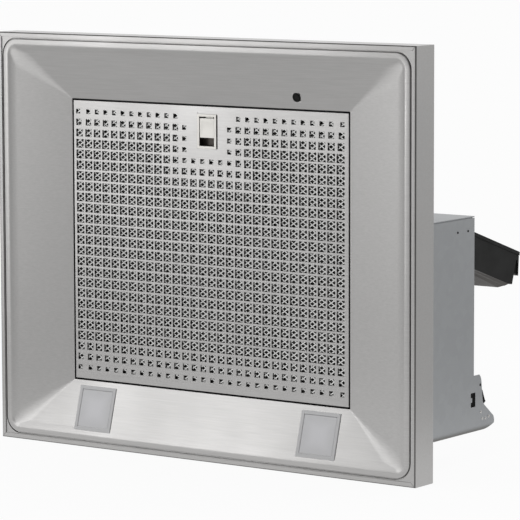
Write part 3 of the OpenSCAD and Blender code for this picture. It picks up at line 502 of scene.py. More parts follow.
bm = bmesh.new()
add_turned(bm, [
    (3.95, 0.55), (4.15, 0.78), (4.55, 0.75), (4.9, 0.5), (5.0, 0.2), (5.0, 0.0), (4.4, 0.0), (4.4, -4),
    (3.95, -4), (3.95, 0.55)], button_out, 48)
place_piece("button_ring", bm, "root", black_plastic, "button_bezel")
bm = bmesh.new()
add_turned(bm, [
    (0, 0.62), (2.1, 0.66), (2.25, 0.5), (2.55, 0.5), (2.7, 0.72), (3.3, 0.88), (3.6, 0.7), (3.7, 0.4),
    (3.7, -4.1), (1.5, -4.1), (1.5, -6.2), (0, -6.2)], button_out, 48)
place_piece("button_cap", bm, "button", black_plastic, "control_button")
eased_copy("button_switch", "switch_body", "root", grey_plastic, 0.5)


# Lamps: two square lamps in the lower slope, each a silver-grey moulded tub with a flat bezel, a
# frosted lens that glows evenly when lit, and a circuit board with four light-emitting diodes.
lens_side = 41.6
lens_t = 2
lens_proud = 0.5
both_sides = ((-1, "left"), (1, "right"))

# Silver-grey plastic: a smooth moulding with a soft, even sheen
lamp_silver = moulded("silver_grey_plastic", "#D6D6D7", "#DCDCDD", 0.35, 0.15)
for side, word in both_sides:
    eased_copy("lamp_body_" + word, "lamp_tub_" + word, "root", lamp_silver, 0.45)

# Frosted polycarbonate: an etched face, a little darker near its edges where the tub shades it
frosted, place = start_material("frosted_polycarbonate")
square_uv = add(frosted, "UVMap", uv_map="across_the_lens")
sides = add(frosted, "SeparateXYZ", links={"Vector": square_uv})
from_middle = [
    add(frosted, "Math", {1: 0.5}, {0: sides.outputs[axis]}, operation="SUBTRACT") for axis in ("X", "Y")]
from_middle = [add(frosted, "Math", links={0: part}, operation="ABSOLUTE") for part in from_middle]
farther = add(frosted, "Math", {2: 0.12}, {0: from_middle[0], 1: from_middle[1]}, operation="SMOOTH_MAX")
shade = add(
    frosted, "MapRange", {"From Min": 0.1, "From Max": 0.52}, {"Value": farther},
    interpolation_type="SMOOTHSTEP")
tone = add(
    frosted, "Mix", {"A": linear("#EAEAED"), "B": linear("#DEDEE0")}, {"Factor": shade}, data_type="RGBA")
etching = add(frosted, "TexNoise", {"Scale": 3000, "Detail": 2}, {"Vector": place})
etched = add(frosted, "Bump", {"Strength": 0.25, "Distance": 0.04 * mm}, {"Height": etching})
shader = add(
    frosted, "BsdfPrincipled", {"IOR": 1.58, "Roughness": 0.42}, {"Base Color": tone, "Normal": etched})
add(frosted, "OutputMaterial", links={"Surface": shader})

# Circuit board: white solder mask over fine tracks, so that the lamp reflects its own light
board, place = start_material("white_circuit_board")
tracks = add(board, "TexVoronoi", {"Scale": 260, "Randomness": 0.6}, {"Vector": place}, distance="CHEBYCHEV")
tone = add(
    board, "Mix", {"A": linear("#D9DBD6"), "B": linear("#C9CCC4")}, {"Factor": tracks}, data_type="RGBA")
shader = add(board, "BsdfPrincipled", {"IOR": 1.5, "Roughness": 0.3}, {"Base Color": tone})
add(board, "OutputMaterial", links={"Surface": shader})


def start_block(width, depth, height, ease, segments):
    """Starts a mesh with one block round the origin, with its edges rounded."""
    bm = bmesh.new()
    bmesh.ops.create_cube(bm, size=1)
    bmesh.ops.scale(bm, vec=(width, depth, height), verts=bm.verts)
    round_edges(bm, bm.edges[:], ease, segments)
    return bm


for side, word in both_sides:
    bm = start_block(lens_side, lens_t, lens_side, 0.5, 3)
    bmesh.ops.translate(bm, vec=(0, lens_t / 2 - lens_proud, 0), verts=bm.verts)
    uv = bm.loops.layers.uv.new("across_the_lens")
    for face in bm.faces:
        for loop in face.loops:
            loop[uv].uv = (loop.vert.co.x / lens_side + 0.5, loop.vert.co.z / lens_side + 0.5)
    bmesh.ops.transform(bm, matrix=slope_place(False, side * lamp_x, lamp_along), verts=bm.verts)
    lens = place_piece("lens_" + word, bm, "root", frosted, "lamp_lens_" + word)
    even_shading(lens)
    eased_copy("lamp_board_" + word, "board_" + word, "root", board, 0.15)


# Filter plate: stainless sheet punched with square holes, 12 mm apart across and 11.87 mm up. Three rings
# of smaller holes run along its upper and lower edges and round the latch, whose window lies between.
pitch = 12
row_pitch = 11.87
grid_left = 0.9
grid_up = 0.3
columns = 30
rows = 25
hole_sides = (5.4, 7.3, 8.7, 10)
panel_half_w = 183.2
panel_half_h = 154.7
window_left = -13.1
window_right = 13.65
window_low = 110.2
window_high = 145.7
hole_wider = 0.02
hole_lower = 0.03
# The blank patch round the latch, whose faces the window's edges cut
patch_half_w = 24
patch_low = 101
patch_high = 150


def hole_ring(column, row):
    """Which ring a hole belongs to, from 0 at an edge or the latch to 3 in the field."""
    off = abs(column - (columns - 1) / 2)
    return max(0, min(3, row, rows - 1 - row, max(off - 1.5, row - 3) - 1))


def is_blank(column, row):
    """Whether the latch takes a hole's place."""
    off = abs(column - (columns - 1) / 2)
    return (row <= 3 and off < 2) or (row == 0 and off < 3)


bm = bmesh.new()
bmesh.ops.create_grid(bm, x_segments=columns, y_segments=rows, size=1)
bmesh.ops.scale(bm, vec=(columns * pitch / 2, rows * row_pitch / 2, 1), verts=bm.verts)
bmesh.ops.rotate(bm, verts=bm.verts, matrix=Matrix.Rotation(math.pi / 2, 3, "X"))
bmesh.ops.translate(bm, vec=(-grid_left, opening_y, grid_up), verts=bm.verts)
border = [edge for edge in bm.edges if len(edge.link_faces) == 1]
grown = bmesh.ops.extrude_edge_only(bm, edges=border)["geom"]
outline = only(bmesh.types.BMVert, grown)
bmesh.ops.translate(bm, vec=(grid_left, 0, -grid_up), verts=outline)
bmesh.ops.scale(
    bm, vec=(panel_half_w / (columns * pitch / 2), 1, panel_half_h / (rows * row_pitch / 2)), verts=outline)
cells = {}
for face in bm.faces:
    middle = face.calc_center_median()
    column = round((middle.x + grid_left) / pitch + (columns - 1) / 2)
    row = round((rows - 1) / 2 - (middle.z - grid_up) / row_pitch)
    if abs(face.calc_area() - pitch * row_pitch) < 0.01 and 0 <= column < columns and 0 <= row < rows:
        cells[face] = (column, row)
holes = []
for ring_number in sorted({hole_ring(*at) for at in cells.values()}):
    side = hole_sides[ring_number]
    group = [face for face, at in cells.items() if hole_ring(*at) == ring_number and not is_blank(*at)]
    bmesh.ops.inset_individual(bm, faces=group, thickness=(pitch - side) / 2, use_even_offset=True)
    for face in group:
        outward = {0: -1, columns - 1: 1}.get(cells[face][0], 0) * (hole_sides[3] - side) / 2
        middle = face.calc_center_median()
        bmesh.ops.translate(bm, vec=(outward, 0, 0), verts=face.verts)
        for vert in face.verts:
            vert.co.x += (vert.co.x - middle.x - outward) * hole_wider
            vert.co.z -= (vert.co.z - middle.z) * hole_lower
    holes += group
window_edges = (
    ((window_left, 0, 0), right), ((window_right, 0, 0), right),
    ((0, 0, window_low), up), ((0, 0, window_high), up))
for point, facing in window_edges:
    near = [
        face for face in bm.faces
        if face not in holes and abs(face.calc_center_median().x) < patch_half_w
        and patch_low < face.calc_center_median().z < patch_high and face.calc_area() > 20]
    parts = {part for face in near for part in (*face.verts, *face.edges, face)}
    bmesh.ops.bisect_plane(bm, geom=list(parts), plane_co=point, plane_no=facing)
window = [
    face for face in bm.faces
    if window_left < face.calc_center_median().x < window_right
    and window_low < face.calc_center_median().z < window_high]
bmesh.ops.delete(bm, geom=holes + window, context="FACES")
if bm.faces[:][0].normal.y > 0:
    bmesh.ops.reverse_faces(bm, faces=bm.faces)
perforated_plate = place_piece("perforated_plate", bm, "filter", stainless, "filter_plate", 24)
sheet_thickness(perforated_plate, 1, 0.2)


# Filter wires: layers of expanded aluminium mesh fill the cassette, slit and pulled into diamonds
# 8 mm wide and 5.4 mm high. The front and rear layers are seen through the holes and windows.
diamond_w = 8
diamond_h = 5.4
strand_w = 1.15
strand_t = 0.4
strand_lap = 0.7
strand_roll = math.radians(8)
front_wires = opening_y + 1.8
rear_wires = opening_y + 10.2
mesh_columns = 45
mesh_rows = 56
latch_row = 48
latch_columns = (20, 25)

# Mill-finish aluminium: as it left the rolls, pale and faintly clouded with a soft shine
aluminium = metal("mill_finish_aluminium", "#D2D2D1", "#E6E6E4", 240, 3, 0.32, 0.42, (0.15, 0.05))

strand_angle = math.atan2(diamond_h, diamond_w)
strand_len = math.hypot(diamond_w, diamond_h) / 2


def mesh_layer(name, y, shift, columns, rows):
    """Lays one block of expanded mesh, from its first to its last column and row."""
    bm = bmesh.new()
    for across, up, lean in ((0.25, 0.25, 1), (0.75, 0.75, 1), (0.25, 0.75, -1), (0.75, 0.25, -1)):
        strand = bmesh.ops.create_cube(bm, size=1)["verts"]
        bmesh.ops.scale(bm, vec=(strand_len + strand_lap, strand_t, strand_w), verts=strand)
        bmesh.ops.rotate(bm, verts=strand, matrix=Matrix.Rotation(strand_roll, 3, "X"))
        bmesh.ops.rotate(bm, verts=strand, matrix=Matrix.Rotation(-lean * strand_angle, 3, "Y"))
        x = (columns[0] + across - mesh_columns / 2 + shift) * diamond_w
        z = (rows[0] + up - mesh_rows / 2) * diamond_h
        bmesh.ops.translate(bm, verts=strand, vec=(x, y, z))
    layer = place_piece(name, bm, "filter", aluminium)
    for axis, ends, step in (("across", columns, (diamond_w, 0, 0)), ("up", rows, (0, 0, diamond_h))):
        array = layer.modifiers.new(axis, "ARRAY")
        array.count = ends[1] - ends[0]
        array.use_relative_offset = False
        array.use_constant_offset = True
        array.constant_offset_displace = [value * mm for value in step]


for word, y, shift in (("front", front_wires, 0), ("rear", rear_wires, 0.3)):
    mesh_layer(word + "_mesh", y, shift, (0, mesh_columns), (0, latch_row))
    mesh_layer(word + "_mesh_upper_left", y, shift, (0, latch_columns[0]), (latch_row, mesh_rows))
    mesh_layer(word + "_mesh_upper_right", y, shift, (latch_columns[1], mesh_columns), (latch_row, mesh_rows))

# Filter core: the inner layers of the same mesh, packed so close that they read as one tangled pad. Its dark
# tone is painted shade: lighter wire lines over dark cells for the shaded depth, and its faces rise and fall
# as stacked layers do.
core, place = start_material("inner_mesh_painted_shade")
tangle = add(core, "TexVoronoi", {"Scale": 210}, {"Vector": place}, feature="DISTANCE_TO_EDGE")
# Lighter lines for the wires, and dark cells as painted shade deep in the pad
tone = add(core, "ValToRGB", links={"Fac": tangle})
tone.color_ramp.elements[0].color = linear("#5E5D5A")
tone.color_ramp.elements[1].color = linear("#242423")
tone.color_ramp.elements[1].position = 0.16
depth = add(core, "Bump", {"Strength": 0.5, "Distance": 0.6 * mm}, {"Height": tangle}, invert=True)
shader = add(
    core, "BsdfPrincipled", {"Metallic": 0.6, "Roughness": 0.55}, {"Base Color": tone, "Normal": depth})
add(core, "OutputMaterial", links={"Surface": shader})

core_half_w = 182.5
core_half_h = 154
core_t = 5.6
core_behind = 3.4
notch = 14.5
notch_low = 108
bm = bmesh.new()
outline = [
    (-core_half_w, -core_half_h), (core_half_w, -core_half_h), (core_half_w, core_half_h),
    (notch, core_half_h), (notch, notch_low), (-notch, notch_low), (-notch, core_half_h),
    (-core_half_w, core_half_h)]
front = bm.faces.new([bm.verts.new((x, opening_y + core_behind, z)) for x, z in outline])
grown = bmesh.ops.extrude_face_region(bm, geom=[front])["geom"]
bmesh.ops.translate(bm, vec=(0, core_t, 0), verts=only(bmesh.types.BMVert, grown))
bmesh.ops.recalc_face_normals(bm, faces=bm.faces)
round_edges(bm, bm.edges[:], 1.5)
place_piece("filter_core", bm, "filter", core, "filter_pad")


# Cassette: two aluminium channels fold round the plate and the wires on all four sides, and a punched
# aluminium screen closes the back. Polished steel pins near the lower edge carry the filter.
channels = eased_copy("filter_channels", "cassette_channels", "filter", aluminium, 0.15)
low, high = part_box("filter_channels")
for vert in channels.data.vertices:
    vert.co.x *= panel_half_w * mm / high[0]
    vert.co.z *= panel_half_h * mm / high[2]
eased_copy("filter_screen", "rear_screen", "filter", aluminium, 0.15)

# Bright steel: turned and polished, with fine lines round it that hold a sharp, narrow highlight
bright_steel = metal("bright_steel", "#C2C0BD", "#CDCBC8", 1200, 2, 0.22, 0.3)
eased_copy("filter_pivots", "pivot_pins", "filter", bright_steel, 0.25)


# Latch: a satin nickel bezel and cup set into the plate, and a sliding tab with a shallow dish for the
# finger. The tab's bolt reaches into the tray's flange, and a coil spring behind it pushes it home.
# Satin nickel: plated over a fine blasting, with a soft, slightly warm sheen and no grain
satin_nickel = metal("satin_nickel", "#CBC9C5", "#D4D2CD", 1500, 2, 0.42, None, (0.2, 0.04))
# Black zinc: a dark, slightly cloudy plating on the screws. On the bolt's end it is painted shade, which
# keeps the gap above the tab dark
black_zinc_and_bolt_shade = metal("black_zinc_and_bolt_shade", "#1B1B1C", "#2B2B2C", 700, 3, 0.4)
# Cup recess: the inside of the cup, painted dark and brownish as painted shade
cup_recess_shade = metal("cup_recess_painted_shade", "#4A4642", "#5A5551", 500, 3, 0.45)

cup_inside = opening_y + 0.8
bolt_low = 146.4


def paint_light_and_shade(piece, material, takes_it, split_at=None):
    """Gives some faces of a piece another material that paints light and shade into their colour. It can
    split them first, at a height in millimetres.
    """
    piece.data.materials.append(material)
    if split_at is not None:
        bm = bmesh.new()
        bm.from_mesh(piece.data)
        bmesh.ops.bisect_plane(bm, geom=whole(bm), plane_co=(0, 0, split_at * mm), plane_no=(0, 0, 1))
        bm.to_mesh(piece.data)
        bm.free()
    for face in piece.data.polygons:
        if takes_it(face):
            face.material_index = 1


cup = eased_copy("latch_cup", "latch_bezel", "filter", satin_nickel, 0.3)
# The faces deep inside the cup take the painted shade
paint_light_and_shade(cup, cup_recess_shade, lambda face: face.center.y > cup_inside * mm)
tab = eased_copy("latch_tab", "latch_slide_tab", "latch", satin_nickel, 0.3)
# The bolt's end, seen through the gap above the tab, is painted dark as painted shade
paint_light_and_shade(tab, black_zinc_and_bolt_shade, lambda face: face.center.z > bolt_low * mm, bolt_low)

# The dish is pressed in so lightly that it hardly shows from the front
tab_face = opening_y - 0.6
dish_half_w = 7.2
dish_deep = 0.75
dish_kept = 0.3
for vert in tab.data.vertices:
    depth = vert.co.y / mm - tab_face
    if abs(vert.co.x) < dish_half_w * mm and 0 < depth < dish_deep:
        vert.co.y = (tab_face + dish_kept * depth) * mm

# Spring: bright steel wire wound into an open coil, with both ends ground flat
coil_r = 1.45
coil_y = opening_y + 9.6
coil_low = 112.4
coil_high = 135.9
coil_turns = 13
coil_steps = 14
wire_r = 0.35
bm = bmesh.new()
wire = bmesh.ops.create_circle(
    bm, segments=8, radius=wire_r,
    matrix=Matrix.Translation((coil_r, 0, coil_low + wire_r)) @ Matrix.Rotation(math.pi / 2, 4, "X"))["verts"]
wire_edges = edges_at(wire)
bmesh.ops.edgeloop_fill(bm, edges=wire_edges)
rise = (coil_high - coil_low - 2 * wire_r) / (coil_turns * coil_steps)
end = bmesh.ops.spin(
    bm, geom=wire + wire_edges, cent=(0, 0, 0), axis=(0, 0, 1), dvec=(0, 0, rise),
    angle=2 * math.pi * coil_turns, steps=coil_turns * coil_steps)["geom_last"]
bmesh.ops.edgeloop_fill(bm, edges=only(bmesh.types.BMEdge, end))
bmesh.ops.recalc_face_normals(bm, faces=bm.faces)
bmesh.ops.translate(bm, vec=(0, coil_y, 0), verts=bm.verts)
coil = place_piece("latch_coil", bm, "filter", bright_steel, "latch_spring")
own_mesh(coil)


# Air box: a shallow box of galvanised sheet behind the tray, spot-welded at its corners. The lamps
# reach into it, and its side holes take the screws that hold the hood in the cut-out.
eased_copy("air_box", "air_box_shell", "root", zinc, 0.25)


# Motor housing: one galvanised sheet is folded up into the floor and both sides, ears and all, and
# a lid closes it with a fine open seam. The rear panel stands inside its back edge.
housing_x = 246
housing_back = 129
housing_floor = -197.3
lid_seam = 36.6
shell = eased_copy("housing_wrapper", "housing_shell", "root", zinc, 0.2, cut_above=lid_seam)
eased_copy("housing_lid", "housing_cover", "root", zinc, 0.2)
eased_copy("rear_panel", "back_panel", "root", zinc, 0.2)

# Bend shade: the housing's sides darken towards the bend along the floor, as painted shade of that bend, with
# a faint mottle
bend_shade_low = housing_floor + 1.5
bend_shade_high = housing_floor + 8
bend_shade_zinc, place = start_material("galvanised_steel_painted_bend_shade")
bend_mottle = add(bend_shade_zinc, "TexNoise", {"Scale": 300, "Detail": 4}, {"Vector": place})
tone = add(
    bend_shade_zinc, "Mix", {"A": linear("#5A5957"), "B": linear("#686764")}, {"Factor": bend_mottle},
    data_type="RGBA")
height = add(bend_shade_zinc, "SeparateXYZ", links={"Vector": place})
fade = add(
    bend_shade_zinc, "MapRange", {"From Min": bend_shade_low * mm, "From Max": bend_shade_high * mm},
    {"Value": height.outputs["Z"]}, interpolation_type="SMOOTHSTEP")
tone = add(bend_shade_zinc, "Mix", {"B": linear("#A2A4A6")}, {"Factor": fade, "A": tone}, data_type="RGBA")
shader = add(bend_shade_zinc, "BsdfPrincipled", {"Metallic": 1.0, "Roughness": 0.47}, {"Base Color": tone})
add(bend_shade_zinc, "OutputMaterial", links={"Surface": shader})
# Low faces on the sides, near the floor bend, take the painted shade
paint_light_and_shade(
    shell, bend_shade_zinc, lambda face: face.center.z < bend_shade_high * mm and abs(face.normal.x) > 0.15, bend_shade_high)

# Screws: black zinc heads with a small socket, one pair high on each side
screw_up = 23.4
screws_back = (33.3, 12.9)


def sideways_at(x, y, z, side=1):
    """The matrix of a place whose Z axis points to the hood's right, or to its left for side -1."""
    return Matrix.Translation((x, y, z)) @ Matrix.Rotation(side * math.pi / 2, 4, "Y")


bm = bmesh.new()
for side in (-1, 1):
    for back in screws_back:
        head = sideways_at(side * housing_x, housing_back - back, screw_up, side)
        add_turned(bm, [(0.48, 0.05), (0.5, 0.44), (0.8, 0.5), (1.15, 0.38), (1.3, 0.1), (1.3, 0)], head, 24)
        add_turned(bm, [(0, 0.08), (0.54, 0.08), (0.54, 0.4)], head, 6)
place_piece("side_screws", bm, "root", black_zinc_and_bolt_shade, "housing_screws", 50)

# Blind rivets: bright steel domes that fix the inner brackets to the ears, with the pulled stem inside
bm = bmesh.new()
for side in (-1, 1):
    for back, above in ((14.5, 21.5), (17.6, 14.2), (24, 13.6), (30.6, 14.9)):
        dome_at = sideways_at(side * housing_x, housing_back + back, housing_floor + above, side)
        add_turned(
            bm, [(0, 0.4), (0.4, 0.4), (0.46, 0.6), (0.9, 0.56), (1.3, 0.35), (1.5, 0.05), (1.5, 0)],
            dome_at, 20)
place_piece("blind_rivets", bm, "root", bright_steel, "ear_rivets", 50)

# Cage nuts: black, closed nuts behind the small holes in the ears
ear_sheet = 1.05
nut_back = 13.2
nut_up = 51.4
bm = bmesh.new()
for side in (-1, 1):
    nut_at = sideways_at(
        side * (housing_x - ear_sheet), housing_back + nut_back, housing_floor + nut_up, side)
    add_turned(bm, [
        (0, -0.9), (1.2, -0.9), (1.25, 0), (4, 0), (4.2, -0.3), (4, -0.8), (2.2, -1.2), (2, -2.6),
        (0, -2.7)], nut_at, 24)
place_piece("ear_nuts", bm, "root", black_zinc_and_bolt_shade, None, 50)

# Snap clips: black nylon hooks that hold the hood in the cut-out, seen through the slots at the ears.
# Each hook's nose springs out behind its ear, and a small steel tab bent out of the sheet holds it.
nose_from = housing_back + 12
nose_out = 1.6
slot_tab_back = 4.6
slot_tab_z = -160.7
# Black nylon: matt from its glass filling, and blacker than the other plastic, which partly paints the shade
# inside the slots at the ears
black_nylon_and_slot_shade = moulded("black_nylon_and_slot_shade", "#030303", "#060606", 0.6, 0.4, 0.1)
for side, word in both_sides:
    hook = eased_copy("snap_clip_" + word, "clip_hook_" + word, "root", black_nylon_and_slot_shade, 0.4)
    for vert in hook.data.vertices:
        if vert.co.y > nose_from * mm:
            vert.co.y += nose_out * mm
    bm = start_block(0.5, 2.8, 5, 0.15, 2)
    bmesh.ops.translate(
        bm, vec=(side * (housing_x - 0.27), housing_back - slot_tab_back, slot_tab_z), verts=bm.verts)
    place_piece("slot_tab_" + word, bm, "root", zinc)


# Blower scroll: galvanised sheet wound into a spiral between two side plates, on two bent feet. It
# leads the air into the outlet, and a moulded bell-mouth ring guides it into each side.
blower_x = 135
blower_y = 69
blower_z = -32.9
scroll_half = 86.5
scroll_sheet = 1.5
eased_copy("scroll_wrap", "scroll_band", "root", zinc, 0.25)
eased_copy("scroll_feet", "scroll_straps", "root", zinc, 0.25)
for side, word in both_sides:
    eased_copy("scroll_side_" + word, "scroll_cheek_" + word, "root", zinc, 0.25)
    inlet_at = sideways_at(blower_x + side * (scroll_half + scroll_sheet), blower_y, blower_z, side)
    bm = bmesh.new()
    add_turned(bm, [
        (36.6, -4), (35.4, -3.6), (35.0, -2.6), (35.3, -1.0), (36.2, 0.5), (37.4, 1.4), (38.8, 1.9),
        (41.2, 2.0), (41.9, 1.6), (42, 0.9), (42, 0), (37.8, 0), (37.8, -1.5), (37, -3.2), (36.6, -4)],
        inlet_at, 96)
    place_piece("bell_mouth_" + word, bm, "root", grey_plastic, "inlet_ring_" + word)

# Fan wheel: a moulded double wheel with 32 forward-curved blades between two end rings and a middle
# disc, whose hub is pressed on the motor's shaft.
blade_half = 80
blade_r = 36.5
blade_depth = 7
blade_sweep = math.radians(20)
blade_t = math.radians(1.4)
blades = 32
blade_steps = 6
wheel_at = sideways_at(blower_x, blower_y, blower_z)
bm = bmesh.new()
end_ring = [
    (36.2, 78.8), (36.2, 81.0), (36.8, 81.5), (43.3, 81.5), (44, 80.9), (44, 79), (43.5, 78.5),
    (36.6, 78.5), (36.2, 78.8)]
for end in (-1, 1):
    add_turned(bm, [(radius, end * along) for radius, along in end_ring], wheel_at, 64)
add_turned(bm, [
    (4.05, -9), (8.4, -9), (9, -8.4), (9, -2.6), (10.5, -1.4), (30, -1.0), (43.4, -1.5), (44, -1.0),
    (44, 1.0), (43.4, 1.5), (30, 1.0), (10.5, 1.4), (9, 2.6), (9, 8.4), (8.4, 9), (4.05, 9), (4.05, -9)],
    wheel_at, 64)
for number in range(blades):
    front = []
    back = []
    for step in range(blade_steps + 1):
        share = step / blade_steps
        radius = blade_r + blade_depth * share
        angle = math.radians(number * 360 / blades) + blade_sweep * share * share
        for side, turned in ((front, angle), (back, angle + blade_t)):
            side.append(Vector((-blade_half, radius * math.cos(turned), radius * math.sin(turned))))
    section = bm.faces.new([bm.verts.new(point) for point in front + back[::-1]])
    grown = bmesh.ops.extrude_face_region(bm, geom=[section])["geom"]
    moved = only(bmesh.types.BMVert, grown)
    bmesh.ops.translate(bm, vec=(2 * blade_half, 0, 0), verts=moved)
    bmesh.ops.translate(bm, vec=(blower_x, blower_y, blower_z), verts=section.verts[:] + moved)
bmesh.ops.recalc_face_normals(bm, faces=bm.faces)
place_piece("blower_wheel", bm, "fan", grey_plastic, "fan_wheel", 40)
eased_copy("motor_shaft", "blower_shaft", "fan", bright_steel, 0.5)

# Motor: a stack of steel laminations between two painted end bells with air slots. A bent bracket
# holds it on three rubber grommets.
bell_slot_x = 24
bell_wall_r = 30
motor_middle = sideways_at(0, blower_y, blower_z)
# Motor paint: dark, with a low gloss and a faint orange peel
motor_paint = moulded("dark_motor_paint", "#242527", "#2D2E31", 0.38, 0.5)
bm = bmesh.new()
end_bell = [
    (4.1, 34.6), (10.2, 35), (11, 34.4), (11.4, 31.6), (14, 31), (32, 30.6), (35, 29.4), (36, 27),
    (36, 20.6), (4.1, 20.6), (4.1, 34.6)]
for end in (-1, 1):
    add_turned(bm, [(radius, end * along) for radius, along in end_bell], motor_middle, 48)
slots = [
    face for face in bm.faces
    if face.calc_area() > 12 and abs(face.normal.x) < 0.1
    and abs(abs(face.calc_center_median().x) - bell_slot_x) < 2
    and (face.calc_center_median() - motor_middle.translation).yz.length > bell_wall_r]
bmesh.ops.inset_individual(bm, faces=slots, thickness=0.9, use_even_offset=True)
bmesh.ops.inset_individual(bm, faces=slots, thickness=0.2, depth=-1.6, use_even_offset=True)
place_piece("motor_bells", bm, "root", motor_paint, "motor_body")
layers = 21
layer_t = 2
stack_half = layers * layer_t / 2
bm = bmesh.new()
edge_line = [(36.2, -stack_half)]
for layer in range(layers):
    low = -stack_half + layer * layer_t
    edge_line += [(41.5, low), (42, low + 0.3), (42, low + 1.7), (41.5, low + layer_t)]
add_turned(bm, edge_line + [(36.2, stack_half), (36.2, -stack_half)], motor_middle, 48)
place_piece("motor_laminations", bm, "root", zinc, None, 20)
eased_copy("motor_bracket", "motor_carrier", "root", zinc, 0.25)
eased_copy("motor_grommets", "rubber_grommets", "root", rubber, 0.5)


# Electrics: the motor's capacitor stands in a steel clamp, beside a white control box with a screwed
# lid and a black lamp driver. The mains lead comes in through a gland in the rear panel.
inner_floor = housing_floor + 1
can_start = -60
can_y = 45
can_up = inner_floor + 47
terminal_x = 5.1
terminal_off = 3.5
lid_up = inner_floor + 43
lid_screws_x = (-220, -98)
lid_screws_y = (51, 105)
gland_x = -150
gland_y = 109
gland_up = inner_floor + 25
# White plastic: a satin moulding, just off white
white_plastic = moulded("white_plastic", "#C9C9C6", "#D2D2CF", 0.4, 0.3)
bm = bmesh.new()
can_at = sideways_at(can_start, can_y, can_up)
add_turned(bm, [
    (0, 0), (13.6, 0), (14.6, 0.4), (15, 1.3), (15, 57.6), (14.3, 58.6), (14.3, 59.4), (15, 60.4),
    (15, 61.3), (14.3, 62), (11, 62), (11, 65.4), (10.4, 66), (9.4, 66), (9, 64.4), (0, 64.4)], can_at, 48)
for across in (-terminal_off, terminal_off):
    blade = bmesh.ops.create_cube(bm, size=1)["verts"]
    bmesh.ops.scale(bm, vec=(1.6, 0.8, 6.3), verts=blade)
    bmesh.ops.translate(bm, vec=(terminal_x, can_y + across, can_up), verts=blade)
place_piece("motor_capacitor", bm, "root", white_plastic, "capacitor")
eased_copy("capacitor_clamp", "capacitor_strap", "root", zinc, 0.25)
eased_copy("control_box", "control_case", "root", white_plastic, 0.8)
eased_copy("control_lid", "control_cover", "root", white_plastic, 0.6)
bm = bmesh.new()
for x in lid_screws_x:
    for y in lid_screws_y:
        head = Matrix.Translation((x, y, lid_up))
        add_turned(bm, [(0.9, 0.2), (0.95, 1.1), (1.6, 1.2), (2.6, 0.9), (3, 0.3), (3, -0.1)], head, 24)
        add_turned(bm, [(0, 0.2), (1.05, 0.2), (1.05, 1.0)], head, 6)
place_piece("cover_screws", bm, "root", black_zinc_and_bolt_shade, None, 50)
eased_copy("lamp_driver", "driver_case", "root", black_plastic, 1.5)
gland_at = Matrix.Translation((gland_x, gland_y, gland_up)) @ Matrix.Rotation(-math.pi / 2, 4, "X")
bm = bmesh.new()
add_turned(bm, [
    (4, 0), (7.6, 0), (8, 0.4), (8, 13), (8, 18), (8, 20), (7.7, 23.6), (7, 24.8), (5, 25), (4.2, 24.8),
    (4, 24.2), (4, 0)], gland_at, 48)
add_turned(bm, [(7.9, 13), (10.6, 13), (11, 13.5), (11, 17.5), (10.6, 18), (7.9, 18)], gland_at, 6)
place_piece("cable_gland", bm, "root", black_plastic, "mains_gland")


# Outlet: a sloping duct in two black mouldings, a body and a cover that laps over it, with a stepped
# and slotted collar for the next duct. Two light flaps on one steel pin close it against draughts.
outlet_tilt = math.radians(18)
outlet_half_w = 95
collar_in = 1.8
cover_t = 0.6
outlet_top_at = Vector((blower_x, 122, 28.3))
along_duct = Vector((0, math.cos(outlet_tilt), -math.sin(outlet_tilt)))
down_duct = Vector((0, -math.sin(outlet_tilt), -math.cos(outlet_tilt)))

# Collar slot shade: thin dark sheets just inside the collar, in the black rubber material, which paint the
# shade in its slots for the catches
bm = bmesh.new()
for side in (-1, 1):
    start = outlet_top_at + Vector((side * (outlet_half_w - collar_in), 0, 0))
    corners = [
        bm.verts.new(start + along_duct * along + down_duct * down)
        for along, down in ((127.5, 8.9), (134.5, 8.9), (138.7, 24.7), (127.5, 24.7))]
    plate = bm.faces.new(corners)
    grown = bmesh.ops.extrude_face_region(bm, geom=[plate])["geom"]
    bmesh.ops.translate(bm, vec=(-side * cover_t, 0, 0), verts=only(bmesh.types.BMVert, grown))
bmesh.ops.recalc_face_normals(bm, faces=bm.faces)
place_piece("collar_slot_shade_sheets", bm, "root", rubber)

duct = eased_copy("outlet_duct", "outlet_body", "root", black_plastic, 0.35)

# The duct's belly is moulded with sloping sides, so its steps are drawn out towards the duct's sides
belly_from = 121
belly_steps = ((89.7, 38.5, 4.8), (81.6, 40.9, 7.2))
for vert in duct.data.vertices:
    offset = vert.co / mm - outlet_top_at
    down = offset.dot(down_duct)
    if offset.dot(along_duct) > belly_from:
        for step_x, step_down, move in belly_steps:
            if abs(abs(offset.x) - step_x) < 0.8 and abs(down - step_down) < 0.6:
                vert.co.x += math.copysign(move, offset.x) * mm
duct.data.update()

# Duct underside: black plastic with a coarser texture, painted paler and browner as painted light where the
# underside catches light from below and behind
lit_underside_from = 130
underside_painted_light = moulded("black_plastic_painted_underside_light", "#4B4844", "#56524E", 0.55, 0.6, 0.4)
paint_light_and_shade(
    duct, underside_painted_light, lambda face: face.normal.dot(down_duct) > 0.8 and face.center.y > lit_underside_from * mm)
eased_copy("outlet_cover", "outlet_top_cover", "root", black_plastic, 0.25)
eased_copy("flap_spine", "flap_pin", "root", bright_steel, 0.2)
eased_copy("flap_upper", "upper_flap", "flap_upper_body", grey_plastic, 0.2)
eased_copy("flap_lower", "lower_flap", "flap_lower_body", grey_plastic, 0.2)


